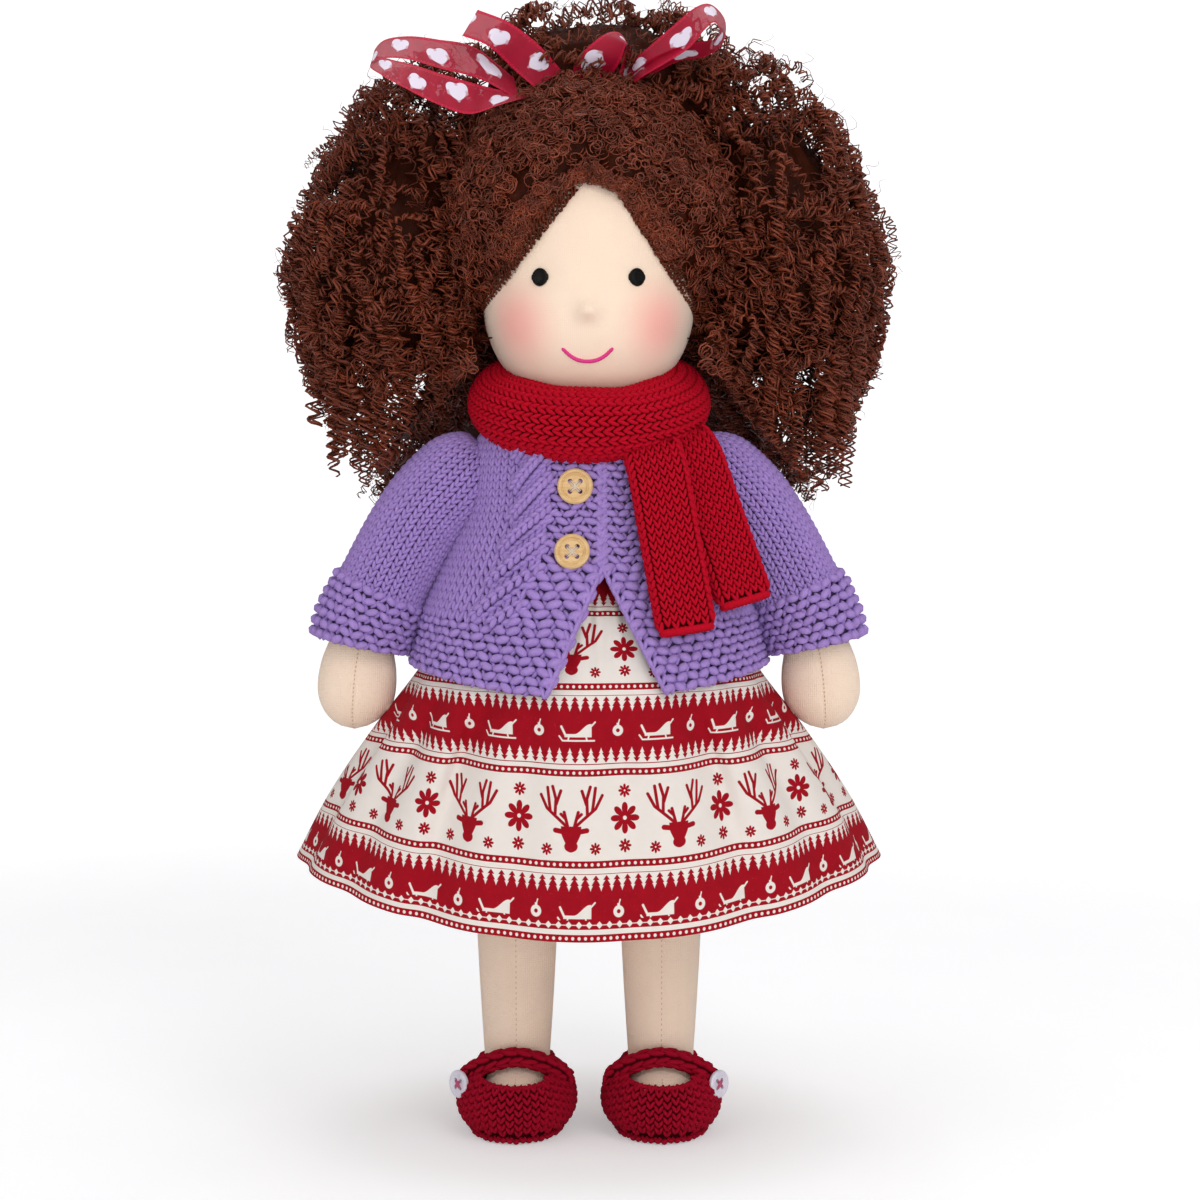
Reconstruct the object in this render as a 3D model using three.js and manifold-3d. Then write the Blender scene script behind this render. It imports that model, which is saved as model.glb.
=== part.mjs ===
// Waldorf doll in a knitted cardigan, printed skirt, scarf and crocheted shoes.
// Millimetres, +Z up. The doll faces -Y and stands on the plane z = 0.
// Left and right are the doll's own: its right side is at -X.
import * as THREE from 'three';
import { mergeVertices } from 'three/addons/utils/BufferGeometryUtils.js';
import Module from 'manifold-3d';

const wasm = await Module();
wasm.setup();

// Fits
const GAP = 0.3;
const JOINT_GAP = 0.5;
const SKIN = 0.9;
const PAST = 4;
// Well outside the doll, for cutters that must reach past it
const FAR = 150;
const FINENESS = 0.12;
// Facets round each form
const TRUNK_FACETS = 16;
const LIMB_FACETS = 10;
const STUFFING_FACETS = 8;
const SKIRT_FACETS = 48;
const CARDIGAN_FACETS = 24;
// What a coarse cutter's flats fall short of its round
const CHORD = 0.9;
const STUFFING_DEPTH = SKIN + GAP + CHORD;
const SMALL_FACETS = 6;
const HAIR_FACETS = 14;
const HAIR_AIR_FACETS = 8;

// Joints
const HIP_HEIGHT = 141;
const HIP_SPREAD = 25.5;
const HIP_CUP_DEPTH = 4;
const LEG_BALL = 15;
const SHOULDER_HEIGHT = 229;
const SHOULDER_SPREAD = 46;

// Trunk: rings of [height, half width, half depth]
const TORSO_BOTTOM = HIP_HEIGHT + LEG_BALL - HIP_CUP_DEPTH;
const NECK_TOP = 255.7;
const NECK_RADIUS = 15;
const TORSO_RINGS = [
  [TORSO_BOTTOM, 37, 21], [156, 40, 25], [165, 40, 26], [180, 36, 24], [198, 33.5, 22.5],
  [215, 34, 22], [230, 34.5, 21.5], [239, 31, 20], [246, 22, 18], [250.5, 16, 15.6],
  [NECK_TOP, NECK_RADIUS, NECK_RADIUS],
];
const NECK_TIE_HEIGHT = 253.2;
const NECK_TIE_THREAD = 0.8;

// Head, a spun form: rings of [height, radius]
const HEAD_RINGS = [
  [NECK_TOP + JOINT_GAP, 14], [257.7, 18.5], [261.5, 24.3], [267, 29.2], [274, 33.4], [282, 36.1],
  [289, 36.8], [297, 36.2], [306, 36.6], [316, 36.2], [325, 33.8], [333, 29], [339, 22],
  [343, 13], [344.6, 3],
];
const HEAD_OPENING = 11;
const NOSE = { height: 285, size: [3.6, 2.6, 3.2] };
const EYE = { height: 297, spread: 16, size: [2.8, 1.9, 3.0] };
const MOUTH = { height: 269, lift: 3.8, halfWidth: 8, thread: 0.55 };

// Hair: soft masses of [centre], [half sizes]
const HAIR_CAP = { centre: [0, 3, 316], size: [51, 47, 54] };
const HAIR_PUFF = { centre: [71, 16, 302], size: [39, 37, 77], leanAbove: -0.18, leanBelow: 0.12 };
const HAIR_CROWN = { centre: [4, 20, 364], size: [54, 34, 36] };
const HAIR_BACK = { centre: [0, 44, 322], size: [60, 32, 60] };
// The locks lie in a layer this thick, round loose air that opens towards the head
const HAIR_LAYER = 6;
const HAIR_AIR_SHIFT = 3;
// Hairline: points of [half width, height above the eyes]
const FACE_OPENING = [[0, 34], [12, 29], [25, 13], [35, -4], [37.5, -13], [38, -47]];
const FACE_CUT_BACK = -8;
// Space under the hair that the shoulders and scarf use: rings of [height, radius]
const UNDER_HAIR = [[150, 140], [205, 93], [229, 77], [246, 62], [262, 50], [278, 47]];

// Ribbon
const RIBBON = { width: 13, thickness: 1.1, knot: [-7, -27, 366], knotSize: [6, 5, 7.5] };
const RIBBON_LOOPS = [
  { length: 64, belly: 8, tilt: 4, lift: -1 },
  { length: 27, belly: 6, tilt: 172, lift: 0 },
];
const RIBBON_TAILS = [
  { length: 30, wave: 3, tilt: 42, lift: 4 },
  { length: 58, wave: 5, tilt: 155, lift: 3 },
];

// Arm: spine points of [x, z] from the shoulder, rings of [distance down the spine, radius]
const ARM_SPINE = [[0, 0], [12, -13], [24.5, -34], [33.5, -56], [36.5, -79], [36.9, -90]];
const ARM_BALL = 11.5;
const ARM_RINGS = [
  [30, 11], [60, 10.8], [68, 11.4], [76, 13.3], [84, 13.8], [90, 12.4], [95, 8.4], [98, 3],
];
const HAND_FLATNESS = 0.84;
const ARM_OPENING = 5;
const SLEEVE_BALL = 15.4;
const SLEEVE_RINGS = [[20, 15.3], [46, 15.2], [50, 16.4], [56, 16.9], [63, 16.9], [68.5, 16]];

// Leg: rings of [height, radius]
const LEG_RINGS = [[7, 7], [11, 10.2], [28, 11.8], [68, 14.1], [112, 15.6]];
const FOOT = { centre: [-9, 12.2], size: [12.5, 20, 8.6] };
const LEG_OPENING = 5;

// Clothes: rings of [height, half width, half depth]
const BODICE_CLOTH = 1.2;
const BODICE_TOP = 247;
const WAIST = 200;
const SKIRT_CLOTH = 1.3;
const SKIRT_RINGS = [
  [97, 103, 85], [118, 92, 72], [141, 76.5, 58], [162, 60.3, 46.5], [180, 49, 38], [192, 41, 30.5],
  [WAIST, 35.4, 24.4],
];
// Folds of the skirt: [degrees from the middle of the front, depth]
const SKIRT_FOLDS = [
  [-30, 5.5], [-15, 2.5], [7.5, 2.5], [30, 5], [52.5, 3.5], [75, 3.5], [105, 4], [135, 4.5],
  [165, 4], [-157.5, 3.5], [-135, 4.5], [-105, 4], [-75, 3.5], [-52.5, 3.5],
];
const FOLD_SPREAD = 5;
const FOLD_HEIGHT = { top: 165, full: 140 };
const FOLD_HEM_SHARE = 0.5;
const SKIRT_DROP = 16;
const CARDIGAN_RINGS = [
  [164, 62, 51], [172, 60, 48.5], [183, 55.5, 43], [195, 49.5, 37.5], [207, 44.5, 34], [218, 41.5, 32],
  [230, 41, 30.5], [240, 39.5, 29], [247, 35.5, 27], [252, 29.5, 24], [255, 24.5, 21.5],
];
const CARDIGAN_DIP = { depth: 8, start: 200 };
const FRONT_OPENING = [[5, 200], [-27, 140], [41, 140]];
const WOOD_BUTTON = { radius: 6.1, thickness: 2.4, hole: 0.9, holeSpread: 1.7 };
// Each wooden button as [x, height]
const WOOD_BUTTON_PLACES = [[-4.4, 226.5], [-5.4, 204.5]];

// Scarf
const SCARF_RING = { radius: 28.8, tube: 13.2, stretch: 0.92, height: 256, tilt: 18 };
const TAIL_THICKNESS = 4;
const TAIL_HINGE = { height: 240, forward: 34 };
const TAILS = [
  { name: 'scarf_tail_front', width: 18.5, length: 65, x: 22, y: -0.8, z: 1, slant: 10, turn: 10 },
  { name: 'scarf_tail_rear', width: 18.5, length: 62, x: 33.5, y: 10, z: 5, slant: 19, turn: 20 },
];
const TAIL_LEAN = 10;

// Shoe: rings of [height, half width, half length]
const SOLE = { thickness: 3, halfWidth: 18.4, halfLength: 26.2 };
const SHOE_BACK = -6.5;
const SHOE_RINGS = [
  [SOLE.thickness + GAP, 18.8, 26.6], [7.5, 19.7, 27.5], [12, 19.5, 27.2], [17, 18.2, 25.6],
  [21, 15.4, 22.2], [24, 11, 16.5], [25.6, 5, 8],
];
const SHOE_OPENING = { halfWidth: 12.4, halfLength: 16, centre: -12, bottom: 14 };
const STRAP = {
  thread: 2.1,
  points: [[-19.6, -10, 16], [-15.2, -14, 22], [0, -17, 27.2], [15.2, -14, 22], [19.6, -10, 16]],
};
const SHOE_BUTTON = { radius: 4.9, thickness: 1.8, hole: 0.75, holeSpread: 1.35, height: 17.5, turn: 48 };
const BUTTON_THREAD = 0.5;
const BUTTON_BEVEL = 0.4;

const SIDES = [
  { word: 'right', sign: -1 },
  { word: 'left', sign: 1 },
];
const radians = THREE.MathUtils.degToRad;

// Solids

function bare(geometry) {
  const plain = geometry.clone();
  for (const name of Object.keys(plain.attributes)) {
    if (name !== 'position') plain.deleteAttribute(name);
  }
  return mergeVertices(plain, 1e-4);
}

function solid(geometry) {
  const merged = bare(geometry);
  const corners = merged.index.array;
  const kept = [];
  for (let i = 0; i < corners.length; i += 3) {
    const [a, b, c] = [corners[i], corners[i + 1], corners[i + 2]];
    if (a !== b && b !== c && c !== a) kept.push(a, b, c);
  }
  const vertProperties = Float32Array.from(merged.attributes.position.array);
  return new wasm.Manifold(new wasm.Mesh({ numProp: 3, vertProperties, triVerts: Uint32Array.from(kept) }));
}

function largestBody(shape) {
  const bodies = shape.decompose();
  return bodies.reduce((best, body) => (body.volume() > best.volume() ? body : best));
}

function geometryOf(shape) {
  const mesh = largestBody(shape.simplify(FINENESS)).getMesh();
  const geometry = new THREE.BufferGeometry();
  geometry.setAttribute('position', new THREE.BufferAttribute(Float32Array.from(mesh.vertProperties), 3));
  geometry.setIndex(Array.from(mesh.triVerts));
  geometry.computeVertexNormals();
  return geometry;
}

function moveVertices(geometry, move) {
  const place = geometry.attributes.position;
  const point = new THREE.Vector3();
  for (let i = 0; i < place.count; i += 1) {
    point.fromBufferAttribute(place, i);
    move(point, i);
    place.setXYZ(i, point.x, point.y, point.z);
  }
  return geometry;
}

// A copy with its surface moved out along the normals.
function grown(geometry, amount) {
  const merged = bare(geometry);
  merged.computeVertexNormals();
  const normals = merged.attributes.normal;
  const normal = new THREE.Vector3();
  return moveVertices(merged, (point, i) => {
    point.addScaledVector(normal.fromBufferAttribute(normals, i), amount);
  });
}

// Soft forms

function smoothRings(keys, count) {
  const points = keys.map(([z, width, depth = width]) => new THREE.Vector3(width, depth, z));
  return new THREE.CatmullRomCurve3(points).getPoints(count).map((p) => [p.z, p.x, p.y]);
}

// A closed form through rings of [height, half width, half depth], lowest first.
function loft(rings, around, shape = () => {}) {
  const geometry = new THREE.CylinderGeometry(1, 1, 1, around, rings.length - 1);
  geometry.rotateX(Math.PI / 2);
  return moveVertices(geometry, (point) => {
    const [z, width, depth] = rings[Math.round((point.z + 0.5) * (rings.length - 1))];
    const angle = Math.atan2(point.y, point.x);
    point.set(point.x * width, point.y * depth, z);
    shape(point, angle);
  });
}

function swollen(rings, amount) {
  return rings.map(([z, width, depth]) => [z, width + amount, depth + amount]);
}

function stretched(rings, below, above) {
  const first = [rings[0][0] - below, rings[0][1], rings[0][2]];
  const last = rings[rings.length - 1];
  return [first, ...rings.slice(1, -1), [last[0] + above, last[1], last[2]]];
}

function ball(radius, centre, segments = 12) {
  return new THREE.SphereGeometry(radius, segments, segments / 2).translate(...centre);
}

function softMass({ centre, size }, segments = 16) {
  const geometry = new THREE.SphereGeometry(1, segments, Math.round(segments * 0.6));
  return geometry.rotateX(Math.PI / 2).scale(...size).translate(...centre);
}

function post(radius, bottom, top, x = 0, y = 0) {
  const geometry = new THREE.CylinderGeometry(radius, radius, top - bottom, LIMB_FACETS);
  return geometry.rotateX(Math.PI / 2).translate(x, y, (top + bottom) / 2);
}

// An outline of [x, z] points pushed along Y from front to back.
function pushedOutline(points, front, back) {
  const outline = new THREE.Shape(points.map(([x, z]) => new THREE.Vector2(x, z)));
  const geometry = new THREE.ExtrudeGeometry(outline, { depth: back - front, bevelEnabled: false });
  return geometry.rotateX(Math.PI / 2).translate(0, back, 0);
}

function circle(x, y, radius, facets) {
  const turns = Array.from({ length: facets }, (_, i) => (2 * Math.PI * i) / facets);
  return turns.map((turn) => new THREE.Vector2(x + radius * Math.cos(turn), y + radius * Math.sin(turn)));
}

function cord(points, radius, steps) {
  const section = new THREE.Shape(circle(0, 0, radius, SMALL_FACETS));
  const extrudePath = new THREE.CatmullRomCurve3(points.map((p) => new THREE.Vector3(...p)));
  return new THREE.ExtrudeGeometry(section, { steps, extrudePath, bevelEnabled: false });
}

// Rings of the half ball that closes a limb's upper end, lowest first.
function ballRings(radius, centre) {
  return [0, 30, 58, 80].map((angle) => {
    const wide = radius * Math.cos(radians(angle));
    return [centre + radius * Math.sin(radians(angle)), wide, wide];
  });
}

function ringAt(rings, height) {
  const above = Math.max(1, rings.findIndex(([z]) => z >= height));
  const [low, high] = [rings[above - 1], rings[above]];
  const share = (height - low[0]) / (high[0] - low[0]);
  return low.map((value, i) => value + (high[i] - value) * share);
}

// Assembly

const doll = new THREE.Group();
doll.name = 'waldorf_doll';

function bodyGroup(name, x, y, z) {
  const group = new THREE.Group();
  group.name = name;
  group.position.set(x, y, z);
  group.updateMatrix();
  doll.add(group);
  return group;
}

function cloth(color, roughness = 0.9) {
  return new THREE.MeshStandardMaterial({ color, roughness, metalness: 0 });
}

// Adds a piece built in the doll's frame to its body's group.
function addPiece(group, name, shape, material) {
  const geometry = geometryOf(shape).applyMatrix4(group.matrix.clone().invert());
  const mesh = new THREE.Mesh(geometry, material);
  mesh.name = name;
  group.add(mesh);
}

const skinCloth = () => cloth(0xf3dfc8);
const wool = () => cloth(0xf2ece0, 1);
const hairYarn = () => cloth(0x46261c, 0.75);
const lilacKnit = () => cloth(0x9673c8, 0.95);
const scarfKnit = () => cloth(0xbe0523, 0.95);
const shoeCrochet = () => cloth(0x820519, 0.95);
const thread = (color) => cloth(color, 0.8);

const torsoGroup = bodyGroup('torso', 0, 0, 0);
const headGroup = bodyGroup('head', 0, 0, NECK_TOP);

// Limb forms

function bendAlongArm(geometry, sign) {
  const spine = new THREE.CatmullRomCurve3(ARM_SPINE.map(([x, z]) => new THREE.Vector3(sign * x, 0, z)));
  const length = spine.getLength();
  return moveVertices(geometry, (point) => {
    const along = Math.min(Math.max(-point.z / length, 0), 1);
    const tangent = spine.getTangentAt(along);
    const start = spine.getPointAt(along).addScaledVector(tangent, -point.z - along * length);
    point.set(start.x - point.x * tangent.z, point.y, start.z + point.x * tangent.x);
  });
}

function armForm(sign, facets = LIMB_FACETS) {
  const down = ARM_RINGS.map(([s, r]) => [-s, r, r * HAND_FLATNESS]).reverse();
  const lower = [...down, [0, ARM_BALL, ARM_BALL]];
  return bendAlongArm(loft([...lower, ...ballRings(ARM_BALL, 0).slice(1)], facets), sign);
}

function sleeveForm(sign) {
  const down = SLEEVE_RINGS.map(([s, r]) => [-s, r, r]).reverse();
  const lower = [...down, [0, SLEEVE_BALL, SLEEVE_BALL]];
  return bendAlongArm(loft([...lower, ...ballRings(SLEEVE_BALL, 0).slice(1)], LIMB_FACETS), sign);
}

function atShoulder(geometry, sign) {
  return solid(geometry.clone().translate(sign * SHOULDER_SPREAD, 0, SHOULDER_HEIGHT));
}

// Everything inside the sleeve's inner line as the arm turns about the X axis, spun about that axis.
function armholeForm(sign) {
  const room = SLEEVE_BALL + JOINT_GAP + CHORD;
  const overBall = [0, 20, 40, 55].map((angle) => (
    new THREE.Vector2(room * Math.sin(radians(angle)), -room * Math.cos(radians(angle)))
  ));
  const spine = new THREE.CatmullRomCurve3(ARM_SPINE.map(([x, z]) => new THREE.Vector3(x, 0, z)));
  const length = spine.getLength();
  const downSleeve = SLEEVE_RINGS.map(([s, radius]) => {
    const [point, tangent] = [spine.getPointAt(s / length), spine.getTangentAt(s / length)];
    const out = radius + JOINT_GAP + CHORD;
    return new THREE.Vector2(out * tangent.x - point.z, point.x + out * tangent.z);
  });
  const last = downSleeve[downSleeve.length - 1];
  const outer = [new THREE.Vector2(last.x, SHOULDER_SPREAD), new THREE.Vector2(0, SHOULDER_SPREAD)];
  const geometry = new THREE.LatheGeometry([...overBall, ...downSleeve, ...outer], TRUNK_FACETS);
  return geometry.rotateZ(-Math.PI / 2).rotateY(sign > 0 ? 0 : Math.PI);
}

function legShaft(facets) {
  const lower = [...LEG_RINGS, [HIP_HEIGHT, LEG_BALL]].map(([z, radius]) => [z, radius, radius]);
  return loft([...lower, ...ballRings(LEG_BALL, HIP_HEIGHT).slice(1)], facets);
}

function footForm(facets) {
  const [y, z] = FOOT.centre;
  return softMass({ centre: [0, y, z], size: FOOT.size }, facets);
}

function legForm(sign, amount, facets = LIMB_FACETS) {
  const place = (geometry) => solid(grown(geometry, amount).translate(sign * HIP_SPREAD, 0, 0));
  return place(legShaft(facets)).add(place(footForm(facets)));
}

// Trunk

const torsoRings = smoothRings(TORSO_RINGS, 11);
const torsoForm = loft(torsoRings, TRUNK_FACETS);
const stuffingForm = loft(torsoRings, LIMB_FACETS);

function jointBalls(radiusAdded) {
  const balls = SIDES.flatMap(({ sign }) => [
    ball(LEG_BALL + JOINT_GAP + CHORD + radiusAdded, [sign * HIP_SPREAD, 0, HIP_HEIGHT]),
    ball(ARM_BALL + JOINT_GAP + CHORD + radiusAdded, [sign * SHOULDER_SPREAD, 0, SHOULDER_HEIGHT]),
  ]);
  return balls.map(solid).reduce((all, next) => all.add(next));
}

function torsoLayer(form, depthIn) {
  return solid(grown(form, -depthIn)).subtract(jointBalls(depthIn));
}

function addTrunk() {
  const opening = solid(post(NECK_RADIUS - 3 * SKIN, NECK_TOP - PAST, NECK_TOP + PAST));
  const skin = torsoLayer(torsoForm, 0).subtract(torsoLayer(torsoForm, SKIN)).subtract(opening);
  addPiece(torsoGroup, 'torso_skin', skin, skinCloth());
  addPiece(torsoGroup, 'torso_stuffing', torsoLayer(stuffingForm, STUFFING_DEPTH), wool());
  addPiece(torsoGroup, 'neck_tie', solid(neckTie(0)), thread(0xe8dcc8));
}

function neckTieRadius() {
  return ringAt(torsoRings, NECK_TIE_HEIGHT)[1] + GAP + NECK_TIE_THREAD;
}

function neckTie(amount) {
  const ring = new THREE.TorusGeometry(neckTieRadius(), NECK_TIE_THREAD + amount, SMALL_FACETS, TRUNK_FACETS);
  return ring.translate(0, 0, NECK_TIE_HEIGHT);
}

// Clothes on the trunk

function between(rings, low, high) {
  const inside = rings.filter(([z]) => z > low + 0.5 && z < high - 0.5);
  return [ringAt(rings, low), ...inside, ringAt(rings, high)];
}

function bodiceForm(amount) {
  return loft(swollen(between(torsoRings, WAIST + GAP, BODICE_TOP), amount), TRUNK_FACETS);
}

function foldDepth(angle, z, hem) {
  const { clamp, euclideanModulo, radToDeg } = THREE.MathUtils;
  const begun = clamp((FOLD_HEIGHT.top - z) / (FOLD_HEIGHT.top - FOLD_HEIGHT.full), 0, 1);
  const faded = clamp((FOLD_HEIGHT.full - z) / (FOLD_HEIGHT.full - hem), 0, 1);
  const fromFront = radToDeg(angle) + 90;
  let depth = 0;
  for (const [place, amount] of SKIRT_FOLDS) {
    const away = euclideanModulo(fromFront - place + 180, 360) - 180;
    depth += amount * Math.exp(-0.5 * (away / FOLD_SPREAD) ** 2);
  }
  return depth * begun * (1 - (1 - FOLD_HEM_SHARE) * faded);
}

function skirtForm(amount, below = 0, above = 0, facets = SKIRT_FACETS) {
  const rings = stretched(swollen(SKIRT_RINGS, amount), below, above);
  const hem = SKIRT_RINGS[0][0];
  return loft(rings, facets, (point, angle) => {
    const fold = foldDepth(angle, point.z, hem);
    const share = THREE.MathUtils.clamp((FOLD_HEIGHT.top - point.z) / (FOLD_HEIGHT.top - hem), 0, 1);
    point.x -= fold * Math.cos(angle);
    point.y -= fold * Math.sin(angle);
    point.z -= SKIRT_DROP * share * Math.sin(angle) ** 2;
  });
}

function cardiganForm(amount) {
  const rings = swollen(smoothRings(CARDIGAN_RINGS, 11), amount);
  const hem = CARDIGAN_RINGS[0][0];
  return loft(rings, CARDIGAN_FACETS, (point, angle) => {
    const share = THREE.MathUtils.clamp((CARDIGAN_DIP.start - point.z) / (CARDIGAN_DIP.start - hem), 0, 1);
    point.z -= CARDIGAN_DIP.depth * share * Math.max(0, -Math.sin(angle)) ** 2;
  });
}

function addDress() {
  const armholes = jointBalls(0);
  const bodice = solid(bodiceForm(GAP + BODICE_CLOTH))
    .subtract(solid(grown(torsoForm, GAP)))
    .subtract(armholes);
  const inside = solid(skirtForm(-SKIRT_CLOTH, PAST, PAST));
  addPiece(torsoGroup, 'dress_bodice', bodice, cloth(0xa50a1e));
  addPiece(torsoGroup, 'skirt', solid(skirtForm(0)).subtract(inside), cloth(0xa50a1e));
}

function addCardigan() {
  const top = CARDIGAN_RINGS[CARDIGAN_RINGS.length - 1];
  const neckRoom = neckTieRadius() + NECK_TIE_THREAD + GAP + CHORD;
  const neckline = solid(post(neckRoom, NECK_TIE_HEIGHT - PAST, top[0] + PAST));
  const opening = solid(pushedOutline(FRONT_OPENING, -FAR, 0));
  let body = solid(cardiganForm(0))
    .subtract(solid(grown(torsoForm, GAP)))
    .subtract(solid(bodiceForm(BODICE_CLOTH + 2 * GAP)))
    .subtract(solid(skirtForm(GAP + CHORD, 0, GAP, CARDIGAN_FACETS)))
    .subtract(neckline)
    .subtract(opening);
  for (const side of SIDES) {
    body = body.subtract(atShoulder(armholeForm(side.sign), side.sign));
  }
  addPiece(torsoGroup, 'cardigan_body', body, lilacKnit());
}

// Buttons lie in their own XZ plane and face -Y.

function buttonHoles({ holeSpread }) {
  return [[-1, -1], [-1, 1], [1, -1], [1, 1]].map(([x, z]) => [x * holeSpread, z * holeSpread]);
}

function buttonDisc(button) {
  const outline = new THREE.Shape(circle(0, 0, button.radius - BUTTON_BEVEL, TRUNK_FACETS));
  for (const [x, z] of buttonHoles(button)) {
    outline.holes.push(new THREE.Path(circle(x, z, button.hole + BUTTON_BEVEL, SMALL_FACETS)));
  }
  const options = { depth: button.thickness - 2 * BUTTON_BEVEL, bevelSegments: 1 };
  const bevel = { bevelThickness: BUTTON_BEVEL, bevelSize: BUTTON_BEVEL };
  const geometry = new THREE.ExtrudeGeometry(outline, { ...options, ...bevel });
  return geometry.translate(0, 0, BUTTON_BEVEL - button.thickness / 2).rotateX(Math.PI / 2);
}

// A cross of sewing thread over the holes, with a leg down each hole.
function buttonCross(button) {
  const half = button.thickness / 2;
  const leg = (x, z) => new THREE.BoxGeometry(BUTTON_THREAD, button.thickness + GAP, BUTTON_THREAD)
    .translate(x, -(GAP + BUTTON_THREAD) / 2, z);
  const span = 2 * Math.SQRT2 * button.holeSpread;
  const bar = (turn) => new THREE.BoxGeometry(span, BUTTON_THREAD, BUTTON_THREAD)
    .rotateY(turn).translate(0, -half - GAP - BUTTON_THREAD / 2, 0);
  const pieces = [...buttonHoles(button).map(([x, z]) => leg(x, z)), bar(Math.PI / 4), bar(-Math.PI / 4)];
  return pieces.map(solid).reduce((all, next) => all.add(next));
}

function addButton(group, name, button, matrix, material, threadMaterial) {
  addPiece(group, name, solid(buttonDisc(button).applyMatrix4(matrix)), material);
  const cross = geometryOf(buttonCross(button)).applyMatrix4(matrix);
  addPiece(group, name.replace('button', 'button_thread'), solid(cross), threadMaterial);
}

function woodButtonMatrix([x, z]) {
  const rings = smoothRings(CARDIGAN_RINGS, 40);
  const edges = [z - WOOD_BUTTON.radius, z + WOOD_BUTTON.radius];
  const [low, high] = edges.map((height) => ringAt(rings, height)[2]);
  const lean = Math.atan2(low - high, 2 * WOOD_BUTTON.radius);
  const forward = Math.max((low + high) / 2, ringAt(rings, z)[2]) + GAP + WOOD_BUTTON.thickness / 2;
  const matrix = new THREE.Matrix4().makeTranslation(x, -forward, z);
  return matrix.multiply(new THREE.Matrix4().makeRotationX(-lean));
}

function woodButtonRoom(place) {
  const radius = WOOD_BUTTON.radius + GAP + CHORD;
  const depth = WOOD_BUTTON.thickness + 4 * BUTTON_THREAD + 2 * GAP;
  const room = new THREE.CylinderGeometry(radius, radius, depth, TRUNK_FACETS);
  return solid(room.applyMatrix4(woodButtonMatrix(place)));
}

function addWoodButtons() {
  ['upper', 'lower'].forEach((word, i) => {
    const matrix = woodButtonMatrix(WOOD_BUTTON_PLACES[i]);
    addButton(torsoGroup, `wood_button_${word}`, WOOD_BUTTON, matrix, cloth(0xe6c38c, 0.5), thread(0x8a2d3a));
  });
}

// Head

const headRings = smoothRings(HEAD_RINGS, 13);
const headForm = loft(headRings, TRUNK_FACETS);

function faceDepth(x, height) {
  return Math.sqrt(ringAt(headRings, height)[1] ** 2 - x ** 2);
}

function noseForm() {
  const centre = [0, -faceDepth(0, NOSE.height), NOSE.height];
  return solid(softMass({ centre, size: NOSE.size }, LIMB_FACETS));
}

function addHead() {
  const opening = solid(post(HEAD_OPENING, NECK_TOP - PAST, HEAD_RINGS[2][0]));
  const skin = solid(headForm).add(noseForm()).subtract(solid(grown(headForm, -SKIN))).subtract(opening);
  addPiece(headGroup, 'head_skin', skin, skinCloth());
  addPiece(headGroup, 'head_core', solid(grown(loft(headRings, LIMB_FACETS), -STUFFING_DEPTH)), wool());
}

function addFace() {
  const faceSurface = solid(grown(headForm, GAP));
  for (const { word, sign } of SIDES) {
    const x = sign * EYE.spread;
    const eye = softMass({ centre: [x, -faceDepth(x, EYE.height), EYE.height], size: EYE.size }, 14);
    addPiece(headGroup, `eye_${word}`, solid(eye).subtract(faceSurface), cloth(0x121010, 0.3));
  }
  const smile = [-1, -0.5, 0, 0.5, 1].map((share) => {
    const x = share * MOUTH.halfWidth;
    const z = MOUTH.height + MOUTH.lift * share ** 2;
    return [x, -faceDepth(x, z) - GAP - MOUTH.thread, z];
  });
  const mouth = solid(cord(smile, MOUTH.thread, 8)).subtract(faceSurface);
  addPiece(headGroup, 'mouth_thread', mouth, thread(0xeb3c96));
}

// Hair

function puffForm(sign, amount, facets) {
  const [x, y, z] = HAIR_PUFF.centre;
  const geometry = grown(softMass({ centre: [0, 0, 0], size: HAIR_PUFF.size }, facets), amount);
  moveVertices(geometry, (point) => {
    const lean = point.z > 0 ? HAIR_PUFF.leanAbove : HAIR_PUFF.leanBelow;
    point.x = sign * (point.x + lean * point.z + x);
  });
  if (sign < 0) {
    const corners = geometry.index.array;
    for (let i = 0; i < corners.length; i += 3) {
      [corners[i], corners[i + 1]] = [corners[i + 1], corners[i]];
    }
  }
  return solid(geometry.translate(0, y, z));
}

function hairForms(amount, facets = HAIR_FACETS) {
  const mass = (form) => solid(grown(softMass(form, facets), amount));
  return {
    cap: mass(HAIR_CAP),
    right: puffForm(-1, amount, facets),
    left: puffForm(1, amount, facets),
    crown: mass(HAIR_CROWN),
    back: mass(HAIR_BACK),
  };
}

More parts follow.
